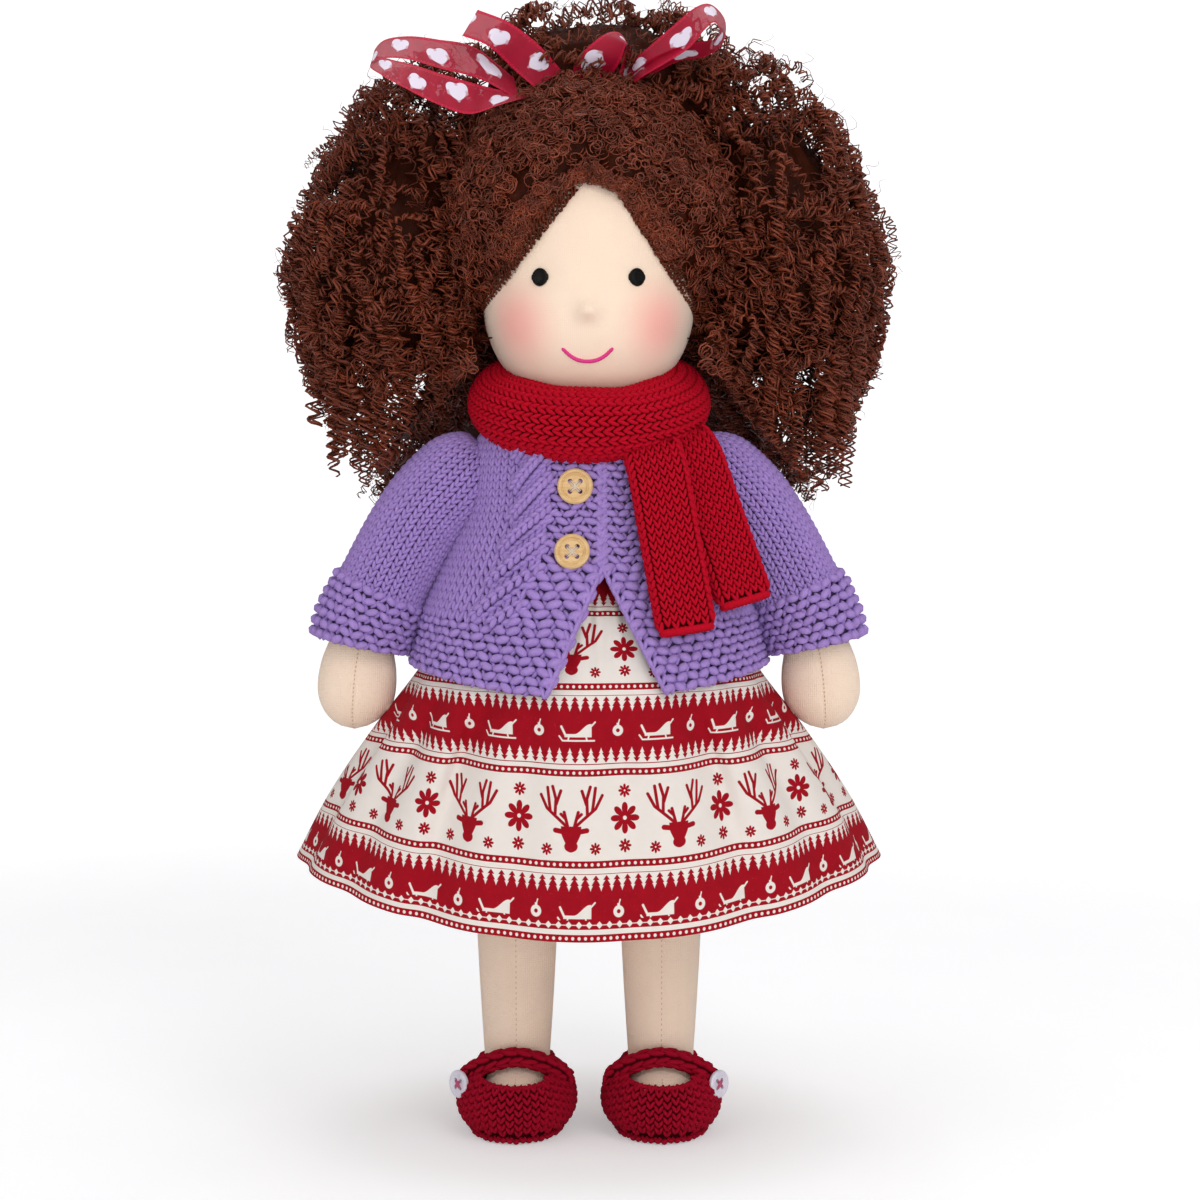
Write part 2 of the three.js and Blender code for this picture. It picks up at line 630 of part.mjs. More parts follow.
function addHair() {
  const forms = hairForms(0);
  const wide = hairForms(GAP);
  const shoulders = solid(loft(UNDER_HAIR.map(([z, r]) => [z, r, r]), TRUNK_FACETS));
  const half = FACE_OPENING.map(([x, rise]) => [x, EYE.height + rise]);
  const outline = [...half, ...half.slice(1).reverse().map(([x, z]) => [-x, z])];
  const face = solid(pushedOutline(outline, -FAR, FACE_CUT_BACK));
  const taken = solid(grown(headForm, GAP)).add(shoulders).add(face).add(noseForm());
  const air = hairForms(-HAIR_LAYER, HAIR_AIR_FACETS);
  const shift = HAIR_AIR_SHIFT;
  const rooms = {
    right: air.right.translate([shift, 0, 0]),
    left: air.left.translate([-shift, 0, 0]),
    crown: air.crown.translate([0, 0, -shift]),
    back: air.back.translate([0, -shift, 0]),
  };
  const cut = (name, others) => {
    const form = others.reduce((left, other) => left.subtract(wide[other]), forms[name].subtract(taken));
    return rooms[name] ? form.subtract(rooms[name]) : form;
  };
  addPiece(headGroup, 'hair_cap', cut('cap', []), hairYarn());
  addPiece(headGroup, 'hair_puff_right', cut('right', ['cap']), hairYarn());
  addPiece(headGroup, 'hair_puff_left', cut('left', ['cap']), hairYarn());
  addPiece(headGroup, 'hair_crown', cut('crown', ['cap', 'right', 'left']), hairYarn());
  addPiece(headGroup, 'hair_back', cut('back', ['cap', 'right', 'left', 'crown']), hairYarn());
}

// Ribbon: strips seen from above, pushed up by the ribbon's width.

function leafOutline(length, belly) {
  const points = [
    [0, 0], [-length * 0.35, -belly], [-length * 0.8, -belly],
    [-length, 0], [-length * 0.8, belly], [-length * 0.35, belly],
  ].map(([x, y]) => new THREE.Vector3(x, y, 0));
  const curve = new THREE.CatmullRomCurve3(points, true).getPoints(12).slice(0, -1);
  return new THREE.Shape(curve.map((p) => new THREE.Vector2(p.x, p.y)));
}

function ribbonLoop({ length, belly }) {
  const wall = RIBBON.thickness;
  const leaf = (outline, depth) => new THREE.ExtrudeGeometry(outline, { depth, bevelEnabled: false });
  const outer = solid(leaf(leafOutline(length, belly), RIBBON.width));
  const hollow = leaf(leafOutline(length - 2 * wall, belly - wall), RIBBON.width + 2 * PAST);
  return geometryOf(outer.subtract(solid(hollow.translate(-wall, 0, -PAST))));
}

function ribbonTail({ length, wave }) {
  const steps = Array.from({ length: 6 }, (_, i) => i / 5);
  const edge = (offset) => steps.map((share) => (
    new THREE.Vector2(-length * share, offset - wave * Math.sin(Math.PI * share))
  ));
  const outline = new THREE.Shape([...edge(0), ...edge(RIBBON.thickness).reverse()]);
  return new THREE.ExtrudeGeometry(outline, { depth: RIBBON.width, bevelEnabled: false });
}

function placedRibbon(geometry, { tilt, lift }) {
  const [x, y, z] = RIBBON.knot;
  const flip = tilt > 90;
  geometry.translate(0, 0, -RIBBON.width / 2);
  if (flip) geometry.rotateZ(Math.PI);
  geometry.rotateY(radians(flip ? tilt - 180 : tilt));
  return solid(geometry.translate(x, y, z + lift));
}

function addRibbon() {
  const hair = hairForms(GAP);
  const knot = solid(softMass({ centre: RIBBON.knot, size: RIBBON.knotSize }, 12));
  const loops = RIBBON_LOOPS.map((loop) => placedRibbon(ribbonLoop(loop), loop));
  const tails = RIBBON_TAILS.map((tail) => placedRibbon(ribbonTail(tail), tail));
  const bow = [...loops, ...tails].reduce((all, next) => all.add(next), knot);
  const cleared = bow.subtract(hair.cap).subtract(hair.crown).subtract(hair.right).subtract(hair.left);
  addPiece(headGroup, 'hair_ribbon', cleared, cloth(0x960a32, 0.4));
}

// Scarf

function scarfRing() {
  const { radius, tube, stretch, height, tilt } = SCARF_RING;
  const geometry = new THREE.TorusGeometry(radius, tube, 8, 18).scale(1, 1, stretch);
  return geometry.rotateX(radians(tilt)).translate(0, 0, height);
}

function addScarf() {
  const ring = solid(scarfRing())
    .subtract(solid(cardiganForm(GAP)))
    .subtract(solid(bodiceForm(BODICE_CLOTH + 2 * GAP)))
    .subtract(solid(grown(torsoForm, GAP)))
    .subtract(solid(neckTie(GAP)))
    .subtract(solid(grown(headForm, JOINT_GAP + CHORD)));
  const rooms = WOOD_BUTTON_PLACES.map(woodButtonRoom);
  const loop = rooms.reduce((left, room) => left.subtract(room), ring);
  addPiece(torsoGroup, 'scarf_loop', loop, scarfKnit());
  const tailGroup = bodyGroup('scarf_tails', 0, -TAIL_HINGE.forward, TAIL_HINGE.height);
  const keepClear = solid(grown(scarfRing(), GAP)).add(solid(cardiganForm(GAP)));
  for (const tail of TAILS) {
    const slab = new THREE.BoxGeometry(tail.width, TAIL_THICKNESS, tail.length, 2, 1, 6);
    slab.translate(0, 0, -tail.length / 2).rotateZ(radians(tail.turn));
    slab.rotateX(radians(-TAIL_LEAN)).rotateY(radians(-tail.slant));
    slab.translate(tail.x, tail.y - TAIL_HINGE.forward, tail.z + TAIL_HINGE.height);
    addPiece(tailGroup, tail.name, solid(slab).subtract(keepClear), scarfKnit());
  }
}

// Arms and legs

function addArm(side) {
  const { word, sign } = side;
  const group = bodyGroup(`arm_${word}`, sign * SHOULDER_SPREAD, 0, SHOULDER_HEIGHT);
  const place = (geometry) => atShoulder(geometry, sign);
  const form = armForm(sign);
  const opening = place(bendAlongArm(post(ARM_OPENING, 0, ARM_BALL + PAST), sign));
  const trunkSide = ringAt(torsoRings, SHOULDER_HEIGHT)[1] + GAP + BODICE_CLOTH + JOINT_GAP;
  const trunkBox = new THREE.BoxGeometry(2 * trunkSide, 2 * FAR, 2 * FAR);
  const trunk = solid(trunkBox.translate(0, 0, SHOULDER_HEIGHT));
  const skin = place(form).subtract(place(grown(form, -SKIN))).subtract(opening);
  addPiece(group, `arm_skin_${word}`, skin, skinCloth());
  const stuffing = place(grown(armForm(sign, STUFFING_FACETS), -STUFFING_DEPTH));
  addPiece(group, `arm_stuffing_${word}`, stuffing, wool());
  const sleeve = place(sleeveForm(sign)).subtract(place(grown(form, GAP))).subtract(trunk);
  addPiece(group, `sleeve_${word}`, sleeve, lilacKnit());
}

function shoeForm(sign, amount) {
  const geometry = loft(swollen(SHOE_RINGS, amount), TRUNK_FACETS);
  return solid(geometry.translate(sign * HIP_SPREAD, SHOE_BACK, 0));
}

function soleForm(sign) {
  const rings = [[0, SOLE.halfWidth, SOLE.halfLength], [SOLE.thickness, SOLE.halfWidth, SOLE.halfLength]];
  return solid(loft(rings, TRUNK_FACETS).translate(sign * HIP_SPREAD, SHOE_BACK, 0));
}

function addShoe(group, { word, sign }) {
  const x = sign * HIP_SPREAD;
  const { halfWidth, halfLength, bottom, centre } = SHOE_OPENING;
  const mouthRings = [[bottom, halfWidth, halfLength], [HIP_HEIGHT, halfWidth, halfLength]];
  const mouth = solid(loft(mouthRings, LIMB_FACETS).translate(x, centre, 0));
  const leg = legForm(sign, GAP);
  addPiece(group, `shoe_sole_${word}`, soleForm(sign), shoeCrochet());
  addPiece(group, `shoe_upper_${word}`, shoeForm(sign, 0).subtract(leg).subtract(mouth), shoeCrochet());
  const strap = solid(cord(STRAP.points, STRAP.thread, 12).translate(x, 0, 0));
  addPiece(group, `shoe_strap_${word}`, strap.subtract(shoeForm(sign, GAP)).subtract(leg), shoeCrochet());
  const end = STRAP.points[STRAP.points.length - 1];
  const turn = radians(SHOE_BUTTON.turn);
  const out = STRAP.thread + GAP + SHOE_BUTTON.thickness / 2;
  const matrix = new THREE.Matrix4().makeTranslation(
    x + sign * (end[0] + out * Math.sin(turn)), end[1] - out * Math.cos(turn), SHOE_BUTTON.height,
  );
  matrix.multiply(new THREE.Matrix4().makeRotationZ(sign * turn));
  addButton(group, `shoe_button_${word}`, SHOE_BUTTON, matrix, cloth(0xe1dceb, 0.35), thread(0xf0f0f0));
}

function addLeg(side) {
  const { word, sign } = side;
  const group = bodyGroup(`leg_${word}`, sign * HIP_SPREAD, 0, HIP_HEIGHT);
  const top = HIP_HEIGHT + LEG_BALL;
  const opening = solid(post(LEG_OPENING, top - PAST, top + PAST, sign * HIP_SPREAD));
  const skin = legForm(sign, 0).subtract(legForm(sign, -SKIN)).subtract(opening);
  addPiece(group, `leg_skin_${word}`, skin, skinCloth());
  addPiece(group, `leg_stuffing_${word}`, legForm(sign, -STUFFING_DEPTH, STUFFING_FACETS), wool());
  addShoe(group, side);
}

addTrunk();
addDress();
addCardigan();
addWoodButtons();
addHead();
addFace();
addHair();
addRibbon();
addScarf();
SIDES.forEach(addArm);
SIDES.forEach(addLeg);

export default doll;
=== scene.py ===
"""Waldorf doll: the looks of a stuffed doll with curly hair, knitted clothes and crocheted shoes.

Builders work in millimetres in the CAD frame, with +Z up and the doll facing -Y. Left and right are
the doll's own, so its right side is at -X. A piece is scaled to metres when it is finished.
"""
import math
import random
from bisect import bisect
from collections import namedtuple
from itertools import accumulate

import bmesh
import bpy
from bpy.props import FloatProperty, FloatVectorProperty, IntProperty, PointerProperty
from mathutils import Matrix, Vector, noise


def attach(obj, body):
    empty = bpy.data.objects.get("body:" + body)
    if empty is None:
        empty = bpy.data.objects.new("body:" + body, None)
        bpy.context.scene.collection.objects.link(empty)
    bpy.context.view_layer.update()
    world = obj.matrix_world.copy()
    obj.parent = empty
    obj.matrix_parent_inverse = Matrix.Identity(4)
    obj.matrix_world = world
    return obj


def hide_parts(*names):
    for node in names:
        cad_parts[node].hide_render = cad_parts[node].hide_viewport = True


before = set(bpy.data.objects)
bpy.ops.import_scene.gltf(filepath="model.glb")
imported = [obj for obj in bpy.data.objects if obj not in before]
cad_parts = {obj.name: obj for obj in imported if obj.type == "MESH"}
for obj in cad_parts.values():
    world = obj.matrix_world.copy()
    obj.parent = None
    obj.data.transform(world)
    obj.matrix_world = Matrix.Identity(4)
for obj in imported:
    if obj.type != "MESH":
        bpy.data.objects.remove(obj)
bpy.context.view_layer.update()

bl_info = {
    "name": "Waldorf Doll",
    "version": (1, 0, 0),
    "blender": (4, 5, 0),
    "location": "View3D > Sidebar > Doll",
    "description": "Builds a stuffed doll with curly hair, knitted clothes and crocheted shoes",
    "category": "Add Mesh",
}

MM = 0.001
TURN = 2 * math.pi
SIDES = (("right", -1), ("left", 1))

# Camera: where it is and what it looks at
CAMERA = (3.9, -850, 230)
CAMERA_AIM = (3.9, 0, 186.4)

# Body forms, as in the CAD: rings of (height, radius) or (height, half width, half depth)
HEAD = [
    (256.0, 0.5), (256.4, 14), (257.7, 18.5), (261.5, 24.3), (267, 29.2), (274, 33.4), (282, 36.1),
    (289, 36.8), (297, 36.2), (306, 36.6), (316, 36.2), (325, 33.8), (333, 29), (339, 22), (343, 13),
    (344.6, 3), (344.8, 0.2),
]
# Soft forms of the face: (x, height, half width, half height, how far it comes forward)
NOSE = (0, 285.4, 3.7, 3.2, 4.0)
BRIDGE = (0, 291, 4.5, 4.0, 0.5)
CHEEKS = [(side * 19, 276, 12, 9, 0.9) for side in (-1, 1)]
EYE_SOCKETS = [(side * 16, 297, 6, 5, -0.7) for side in (-1, 1)]
TORSO = [
    (151.6, 0.5, 0.5), (152, 33, 18), (156, 40, 25), (165, 40, 26), (180, 36, 24), (198, 33.5, 22.5),
    (215, 34, 22), (230, 34.5, 21.5), (239, 31, 20), (246, 22, 18), (250.5, 16, 15.6), (255.2, 15, 15),
    (255.6, 0.5, 0.5),
]
SHOULDER = Vector((46, 0, 229))
# Arm and sleeve: the spine as (x, z) from the shoulder, and rings of (distance down it, radius)
ARM_SPINE = [(0, 0), (12, -13), (24.5, -34), (33.5, -56), (36.5, -79), (36.9, -90)]
ARM = [
    (-11.5, 0.3), (-10.6, 4.5), (-6.5, 9.5), (0, 11.5), (30, 11), (60, 10.8), (68, 11.4), (76, 13.3),
    (84, 13.8), (90, 12.4), (95, 8.4), (98, 3), (98.4, 0.2),
]
HAND_FLATNESS = 0.84
SLEEVE = [(-15.4, 0.5), (-13.5, 7), (-9, 12.5), (0, 15.4), (20, 15.3), (44, 15.0), (49, 15.6)]
CUFF = [(47.5, 15.6), (50, 16.4), (56, 16.9), (63, 16.9), (68.5, 16)]
HIP = Vector((25.5, 0, 141))
LEG = [
    (6, 0.3), (7, 7), (11, 10.2), (28, 11.8), (68, 14.1), (112, 15.6), (141, 15), (148.5, 13), (153.5, 8.3),
    (156, 0.3),
]
# Foot: its middle as (y, z), and its half width, half length and half height
FOOT_CENTRE = (-10.5, 12.2)
FOOT_SIZE = (12.9, 20, 11.0)
SEAM_DEPTH = 0.35
SEAM_WIDTH = 0.012


# Properties


def screen_colour(red, green, blue):
    """A scene-linear colour from screen values of 0 to 255."""
    levels = [level / 255 for level in (red, green, blue)]
    return tuple(c / 12.92 if c <= 0.04045 else ((c + 0.055) / 1.055) ** 2.4 for c in levels) + (1.0,)


def toned(tone, *shares):
    """A colour with its red, green and blue multiplied by one share or by three."""
    shares = shares * 3 if len(shares) == 1 else shares
    return tuple(c * share for c, share in zip(tone, shares)) + (1,)


def colour_setting(name, description, *screen):
    """A colour that the user can change."""
    return FloatVectorProperty(
        name=name, description=description, subtype="COLOR", size=4, min=0, max=1,
        default=screen_colour(*screen),
    )


def length_setting(name, description, millimetres):
    """A length that the user can change."""
    return FloatProperty(
        name=name, description=description, unit="LENGTH", subtype="DISTANCE", min=0,
        default=millimetres * MM,
    )


class DollColours(bpy.types.PropertyGroup):
    """Colours of the doll's cloth, yarn and buttons"""

    skin: colour_setting("Skin", "Cotton jersey of the head, body and limbs", 250, 227, 206)
    blush: colour_setting("Blush", "Rubbed colour on the cheeks", 247, 158, 150)
    hair: colour_setting("Hair", "Curly hair yarn", 116, 56, 36)
    cardigan: colour_setting("Cardigan", "Yarn of the cardigan", 182, 150, 222)
    scarf: colour_setting("Scarf", "Yarn of the scarf", 200, 8, 38)
    skirt: colour_setting("Skirt", "Printed red of the skirt", 172, 8, 30)
    cream: colour_setting("Skirt ground", "Unprinted cotton of the skirt", 243, 234, 226)
    shoes: colour_setting("Shoes", "Yarn of the shoes", 176, 8, 42)
    ribbon: colour_setting("Ribbon", "Organza of the hair ribbon", 182, 8, 52)
    wood: colour_setting("Wood", "Turned wood of the cardigan buttons", 232, 197, 142)
    mouth: colour_setting("Mouth", "Embroidery thread of the mouth", 246, 52, 150)


class DollSizes(bpy.types.PropertyGroup):
    """Sizes of the doll's yarn and curls"""

    knit: length_setting("Cardigan stitch", "Width of a knitted column of the cardigan", 3.15)
    crochet: length_setting("Shoe stitch", "Width of a crocheted stitch of the shoes", 3.4)
    strand: length_setting("Hair strand", "Radius of a curled strand of hair", 0.5)
    curl: length_setting("Curl", "Radius of a corkscrew curl", 1.9)
    locks: IntProperty(
        name="Locks", description="Corkscrew locks in the outer layer of a side puff", default=360, min=10
    )


def colours():
    """The doll's colour settings."""
    return bpy.context.scene.doll_colours


def size_of(name):
    """One of the doll's size settings, in millimetres."""
    return getattr(bpy.context.scene.doll_sizes, name) / MM


# Shading


def feed(socket, value):
    """Links a field to a shader input, or sets the input to a constant."""
    if isinstance(value, Field):
        socket.id_data.links.new(value.socket, socket)
    else:
        socket.default_value = value


class Field:
    """A shader output that takes part in Python arithmetic."""

    def __init__(self, socket):
        self.socket = socket

    def node(self, kind, settings, inputs, output=0):
        """Adds a node with its settings and then its inputs, and returns one of its outputs."""
        made = self.socket.id_data.nodes.new(kind)
        for name, value in settings.items():
            setattr(made, name, value)
        for name, value in inputs.items():
            feed(made.inputs[name], value)
        return Field(made.outputs[output])

    def maths(self, operation, *values):
        """A Math node on these values, in their order."""
        return self.node("ShaderNodeMath", {"operation": operation}, dict(enumerate(values)))

    def __add__(self, other):
        return self.maths("ADD", self, other)

    __radd__ = __add__

    def __sub__(self, other):
        return self.maths("SUBTRACT", self, other)

    def __rsub__(self, other):
        return self.maths("SUBTRACT", other, self)

    def __mul__(self, other):
        return self.maths("MULTIPLY", self, other)

    __rmul__ = __mul__

    def __truediv__(self, other):
        return self.maths("DIVIDE", self, other)

    def __abs__(self):
        return self.maths("ABSOLUTE", self)

    def __pow__(self, other):
        return self.maths("POWER", self, other)

    def low(self, other):
        """The smaller of two values."""
        return self.maths("MINIMUM", self, other)

    def high(self, other):
        """The larger of two values."""
        return self.maths("MAXIMUM", self, other)

    def wave(self):
        """The sine of a value."""
        return self.maths("SINE", self)

    def repeat(self, period):
        """The value within one period, from 0 up to the period."""
        return self.maths("FLOORED_MODULO", self, period)

    def within(self, low, high):
        """1 between two limits and 0 outside them."""
        return self.maths("GREATER_THAN", self, low) * self.maths("LESS_THAN", self, high)

    def step(self, low, high):
        """A smooth rise from 0 at low to 1 at high."""
        inputs = {"Value": self, "From Min": low, "From Max": high}
        return self.node("ShaderNodeMapRange", {"interpolation_type": "SMOOTHSTEP"}, inputs)

    def between(self, low, high):
        """A colour that runs from low to high as this value runs from 0 to 1."""
        return self.node("ShaderNodeMix", {"data_type": "RGBA"}, {0: self, 6: low, 7: high}, output=2)

    def vector(self, operation, other, output=0):
        """A Vector Math node on this vector and another."""
        return self.node("ShaderNodeVectorMath", {"operation": operation}, {0: self, 1: other}, output)

    def axis(self, name):
        """One component of a vector."""
        return self.node("ShaderNodeSeparateXYZ", {}, {"Vector": self}, name)

    def noise(self, scale, detail=2.0):
        """Noise over this vector, about 0.5."""
        return self.node("ShaderNodeTexNoise", {}, {"Vector": self, "Scale": scale, "Detail": detail})


def length_of(x, y):
    """The length of a flat vector of fields."""
    return (x * x + y * y) ** 0.5


class Finish:
    """A material being made, with its shader and coordinates."""

    def __init__(self, name, constants):
        self.material = bpy.data.materials.new(name)
        self.material.use_nodes = True
        self.nodes = self.material.node_tree.nodes
        self.shader = self.nodes["Principled BSDF"]
        for socket, value in constants.items():
            self.shader.inputs[socket].default_value = value

    def points(self):
        """Places on the doll in millimetres."""
        place = Field(self.nodes.new("ShaderNodeTexCoord").outputs["Object"])
        return place.vector("MULTIPLY", (1 / MM, 1 / MM, 1 / MM))

    def flat(self):
        """Places on a sheet laid flat, in millimetres, as its two components."""
        source = self.nodes.new("ShaderNodeUVMap")
        source.uv_map = "flat"
        place = Field(source.outputs["UV"])
        return place.axis("X"), place.axis("Y")

    def paint(self, **inputs):
        """Feeds the shader's varying inputs."""
        for name, value in inputs.items():
            feed(self.shader.inputs[name.replace("_", " ")], value)
        return self.material

    def bump(self, height, millimetres):
        """Raises the surface by the height field, in millimetres where the field is 1."""
        return height.node("ShaderNodeBump", {}, {"Height": height, "Distance": millimetres * MM})


# Mesh building


def smooth(keys, position):
    """The values at a position on a smooth line through keys of (position, value, ...)."""
    last = len(keys) - 2
    i = next((k for k in range(last) if position <= keys[k + 1][0]), last)
    low, high = keys[i], keys[i + 1]
    before, after = keys[max(i - 1, 0)], keys[min(i + 2, last + 1)]
    span = high[0] - low[0]
    t = min(max((position - low[0]) / span, 0), 1)
    values = []
    for n in range(1, len(low)):
        rise_low = (high[n] - before[n]) / (high[0] - before[0]) * span
        rise_high = (after[n] - low[n]) / (after[0] - low[0]) * span
        middle = (3 * t * t - 2 * t**3) * (high[n] - low[n])
        bend = (t**3 - 2 * t * t + t) * rise_low + (t**3 - t * t) * rise_high
        values.append(low[n] + middle + bend)
    return values


def lengths_along(points):
    """How far along a line each of its points is."""
    return list(accumulate(((b - a).length for a, b in zip(points, points[1:])), initial=0.0))


def axes_matrix(*columns):
    """The matrix whose columns are three axes and an origin."""
    return Matrix([[column[i] for column in columns] for i in range(3)] + [[0, 0, 0, 1]])


def surface(columns, rows, place, closed=True):
    """A grid bent so that its point (u, v), each from 0 to 1, lies at place(u, v)."""
    bm = bmesh.new()
    bm.loops.layers.uv.new("flat")
    bmesh.ops.create_grid(bm, x_segments=columns, y_segments=rows, size=0.5, calc_uvs=True)
    for vert in bm.verts:
        vert.co = place(vert.co.x + 0.5, vert.co.y + 0.5)
    if closed:
        bmesh.ops.remove_doubles(bm, verts=bm.verts, dist=1e-3)
    return bm


def remove_faces(bm, unwanted):
    """Deletes the faces whose middle is unwanted."""
    faces = [face for face in bm.faces if unwanted(face.calc_center_median())]
    bmesh.ops.delete(bm, geom=faces, context="FACES")


def scale_flat(bm, width, length):
    """Gives the sheet's UV its flat size in millimetres."""
    layer = bm.loops.layers.uv.active
    for face in bm.faces:
        for loop in face.loops:
            u, v = loop[layer].uv
            loop[layer].uv = (u * width, v * length)
    return bm


def ring_place(keys, low, high):
    """place(u, v) on a form through rings of (height, half width, half depth); u starts at the front."""

    def place(u, v):
        z = low + (high - low) * v
        ring = smooth(keys, z)
        angle = TURN * (u - 0.25)
        return Vector((ring[0] * math.cos(angle), ring[-1] * math.sin(angle), z))

    return place


def link(obj, body, replaced):
    """Puts a finished object in the scene, on its CAD body and in place of its CAD nodes."""
    bpy.context.collection.objects.link(obj)
    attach(obj, body)
    if replaced:
        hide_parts(*replaced)
    return obj


def smooth_object(bm, name, material):
    """A smooth object in metres from a bmesh in millimetres."""
    bmesh.ops.scale(bm, vec=(MM, MM, MM), verts=bm.verts)
    mesh = bpy.data.meshes.new(name)
    bm.to_mesh(mesh)
    bm.free()
    mesh.shade_smooth()
    mesh.materials.append(material)
    return bpy.data.objects.new(name, mesh)


def finish_piece(bm, name, material, body, replaced=()):
    """Turns a bmesh in millimetres into a smooth piece that rides on a body."""
    return link(smooth_object(bm, name, material), body, replaced)


Spot = namedtuple("Spot", "origin across along normal")


def spot_at(place, u, v):
    """Where place(u, v) is, how it moves with u and v, and its outward normal."""
    step = 0.001
    origin = place(u, v)
    across = (place(u + step, v) - origin) / step
    along = (place(u, v + step) - origin) / step
    return Spot(origin, across, along, across.cross(along).normalized())


def lobe_matrix(spot, tilt, width, length, thickness, shift=0.0, lift=0.0):
    """A unit ball stretched into a length of yarn that lies on a spot, turned by tilt."""
    across = spot.across.normalized()
    along = spot.normal.cross(across)
    sideways = across * math.cos(tilt) - along * math.sin(tilt)
    forward = across * math.sin(tilt) + along * math.cos(tilt)
    origin = spot.origin + across * shift + spot.normal * lift
    return axes_matrix(spot.normal * thickness / 2, sideways * width / 2, forward * length / 2, origin)


class Stitches:
    """Lengths of yarn, each a copy of one rounded length put in its place."""

    def __init__(self):
        self.whole = bmesh.new()
        self.lengths = {}

    def rounded_length(self, sides, rings):
        """The length of yarn that is copied."""
        if (sides, rings) not in self.lengths:
            bm = bmesh.new()
            bmesh.ops.create_uvsphere(bm, u_segments=sides, v_segments=rings, radius=1)
            self.lengths[sides, rings] = bpy.data.meshes.new("length")
            bm.to_mesh(self.lengths[sides, rings])
            bm.free()
        return self.lengths[sides, rings]

    def lobe(self, matrix, sides=6, rings=4):
        """Adds one length of yarn."""
        length = self.rounded_length(sides, rings).copy()
        length.transform(matrix)
        self.whole.from_mesh(length)
        bpy.data.meshes.remove(length)

    def finish(self, name, material, body, slot, replaced=()):
        """Makes the stitches one piece."""
        for length in self.lengths.values():
            bpy.data.meshes.remove(length)
        return finish_piece(self.whole, name, material, body, replaced)


def everywhere(spot):
    """Keeps every stitch."""
    return True


Stitch = namedtuple("Stitch", "row column spot width height")


def stitch_grid(place, columns, rows, u_range, v_range, keep, offset):
    """The kept stitches of a grid; offset(row, column) says where in its cell each one lies."""
    u_step = (u_range[1] - u_range[0]) / columns
    v_step = (v_range[1] - v_range[0]) / rows
    for row in range(rows):
        for column in range(columns):
            across, up = offset(row, column)
            spot = spot_at(place, u_range[0] + u_step * (column + across), v_range[0] + v_step * (row + up))
            if keep(spot):
                yield Stitch(row, column, spot, spot.across.length * u_step, spot.along.length * v_step)


def stockinette(
    stitches, place, columns, rows, u_range=(0, 1), v_range=(0, 1), keep=everywhere,
    stagger=0.0, open_v=0.42, overlap=1.35,
):
    """Columns of V stitches, each V two leaning lengths of yarn; every second column may start higher."""

    def offset(row, column):
        return 0.5, 0.5 + (stagger if column % 2 else 0)

    for stitch in stitch_grid(place, columns, rows, u_range, v_range, keep, offset):
        rise = stitch.height * overlap
        width = max(stitch.width, rise * 0.5)
        lean = math.atan2(open_v * width, rise)
        length = math.hypot(open_v * width, rise) * 1.1
        for side in (-1, 1):
            stitches.lobe(lobe_matrix(
                stitch.spot, side * lean, width * 0.5, length, width * 0.8, side * width * 0.22, width * 0.15
            ))


def purl(stitches, place, columns, rows, rng, u_range=(0, 1), v_range=(0, 1), keep=everywhere):
    """Rows of plump purl bumps, staggered from row to row, each with a strand that dips behind it."""

    def offset(row, column):
        return 0.75 if row % 2 else 0.25, 0.5

    for row, column, spot, width, height in stitch_grid(place, columns, rows, u_range, v_range, keep, offset):
        way = 1 if (row + column) % 2 else -1
        tilt = math.pi / 2 + way * math.radians(rng.uniform(12, 34))
        lift = height * rng.uniform(0.18, 0.4)
        stitches.lobe(lobe_matrix(spot, tilt, height * 0.95, width * 1.08, height, 0, lift), 7, 5)
        stitches.lobe(lobe_matrix(
            spot, -way * 0.5, height * 0.55, height * 1.5, height * 0.6, width * 0.5, height * 0.02
        ))


class Spine:
    """A bent line that a limb follows, from points of (x, z) on one side of the doll."""

    steps = 60

    def __init__(self, points, sign):
        keys = [(i, sign * x, z) for i, (x, z) in enumerate(points)]
        reach = len(points) - 1
        line = [smooth(keys, reach * i / self.steps) for i in range(self.steps + 1)]
        self.points = [Vector((x, 0, z)) for x, z in line]
        self.marks = lengths_along(self.points)

    def at(self, distance):
        """The point that far down the line, and the line's direction there."""
        i = next((k for k in range(self.steps - 1) if distance <= self.marks[k + 1]), self.steps - 1)
        step = self.points[i + 1] - self.points[i]
        share = (distance - self.marks[i]) / step.length
        before = self.points[i + 1] - self.points[max(i - 1, 0)]
        after = self.points[min(i + 2, self.steps)] - self.points[i]
        ahead = before.normalized().lerp(after.normalized(), min(max(share, 0), 1)).normalized()
        return self.points[i] + step * share, ahead


def limb_place(keys, sign, low, high, flatness=1.0):
    """place(u, v) on an arm or sleeve, from low to high down its spine; u starts at the front."""
    spine = Spine(ARM_SPINE, sign)
    shoulder = Vector((sign * SHOULDER.x, 0, SHOULDER.z))

    def place(u, v):
        distance = high + (low - high) * v
        radius = smooth(keys, distance)[0]
        centre, ahead = spine.at(distance)
        side = Vector((-ahead.z, 0, ahead.x))
        angle = TURN * (u - 0.25)
        across = side * radius * math.cos(angle)
        return shoulder + centre + across + Vector((0, radius * flatness * math.sin(angle), 0))

    return place


def seam_groove(u):
    """How deep the seam down the front of a limb sinks at a share of the way round."""
    return SEAM_DEPTH * math.exp(-((min(u, 1 - u) / SEAM_WIDTH) ** 2))


# Materials


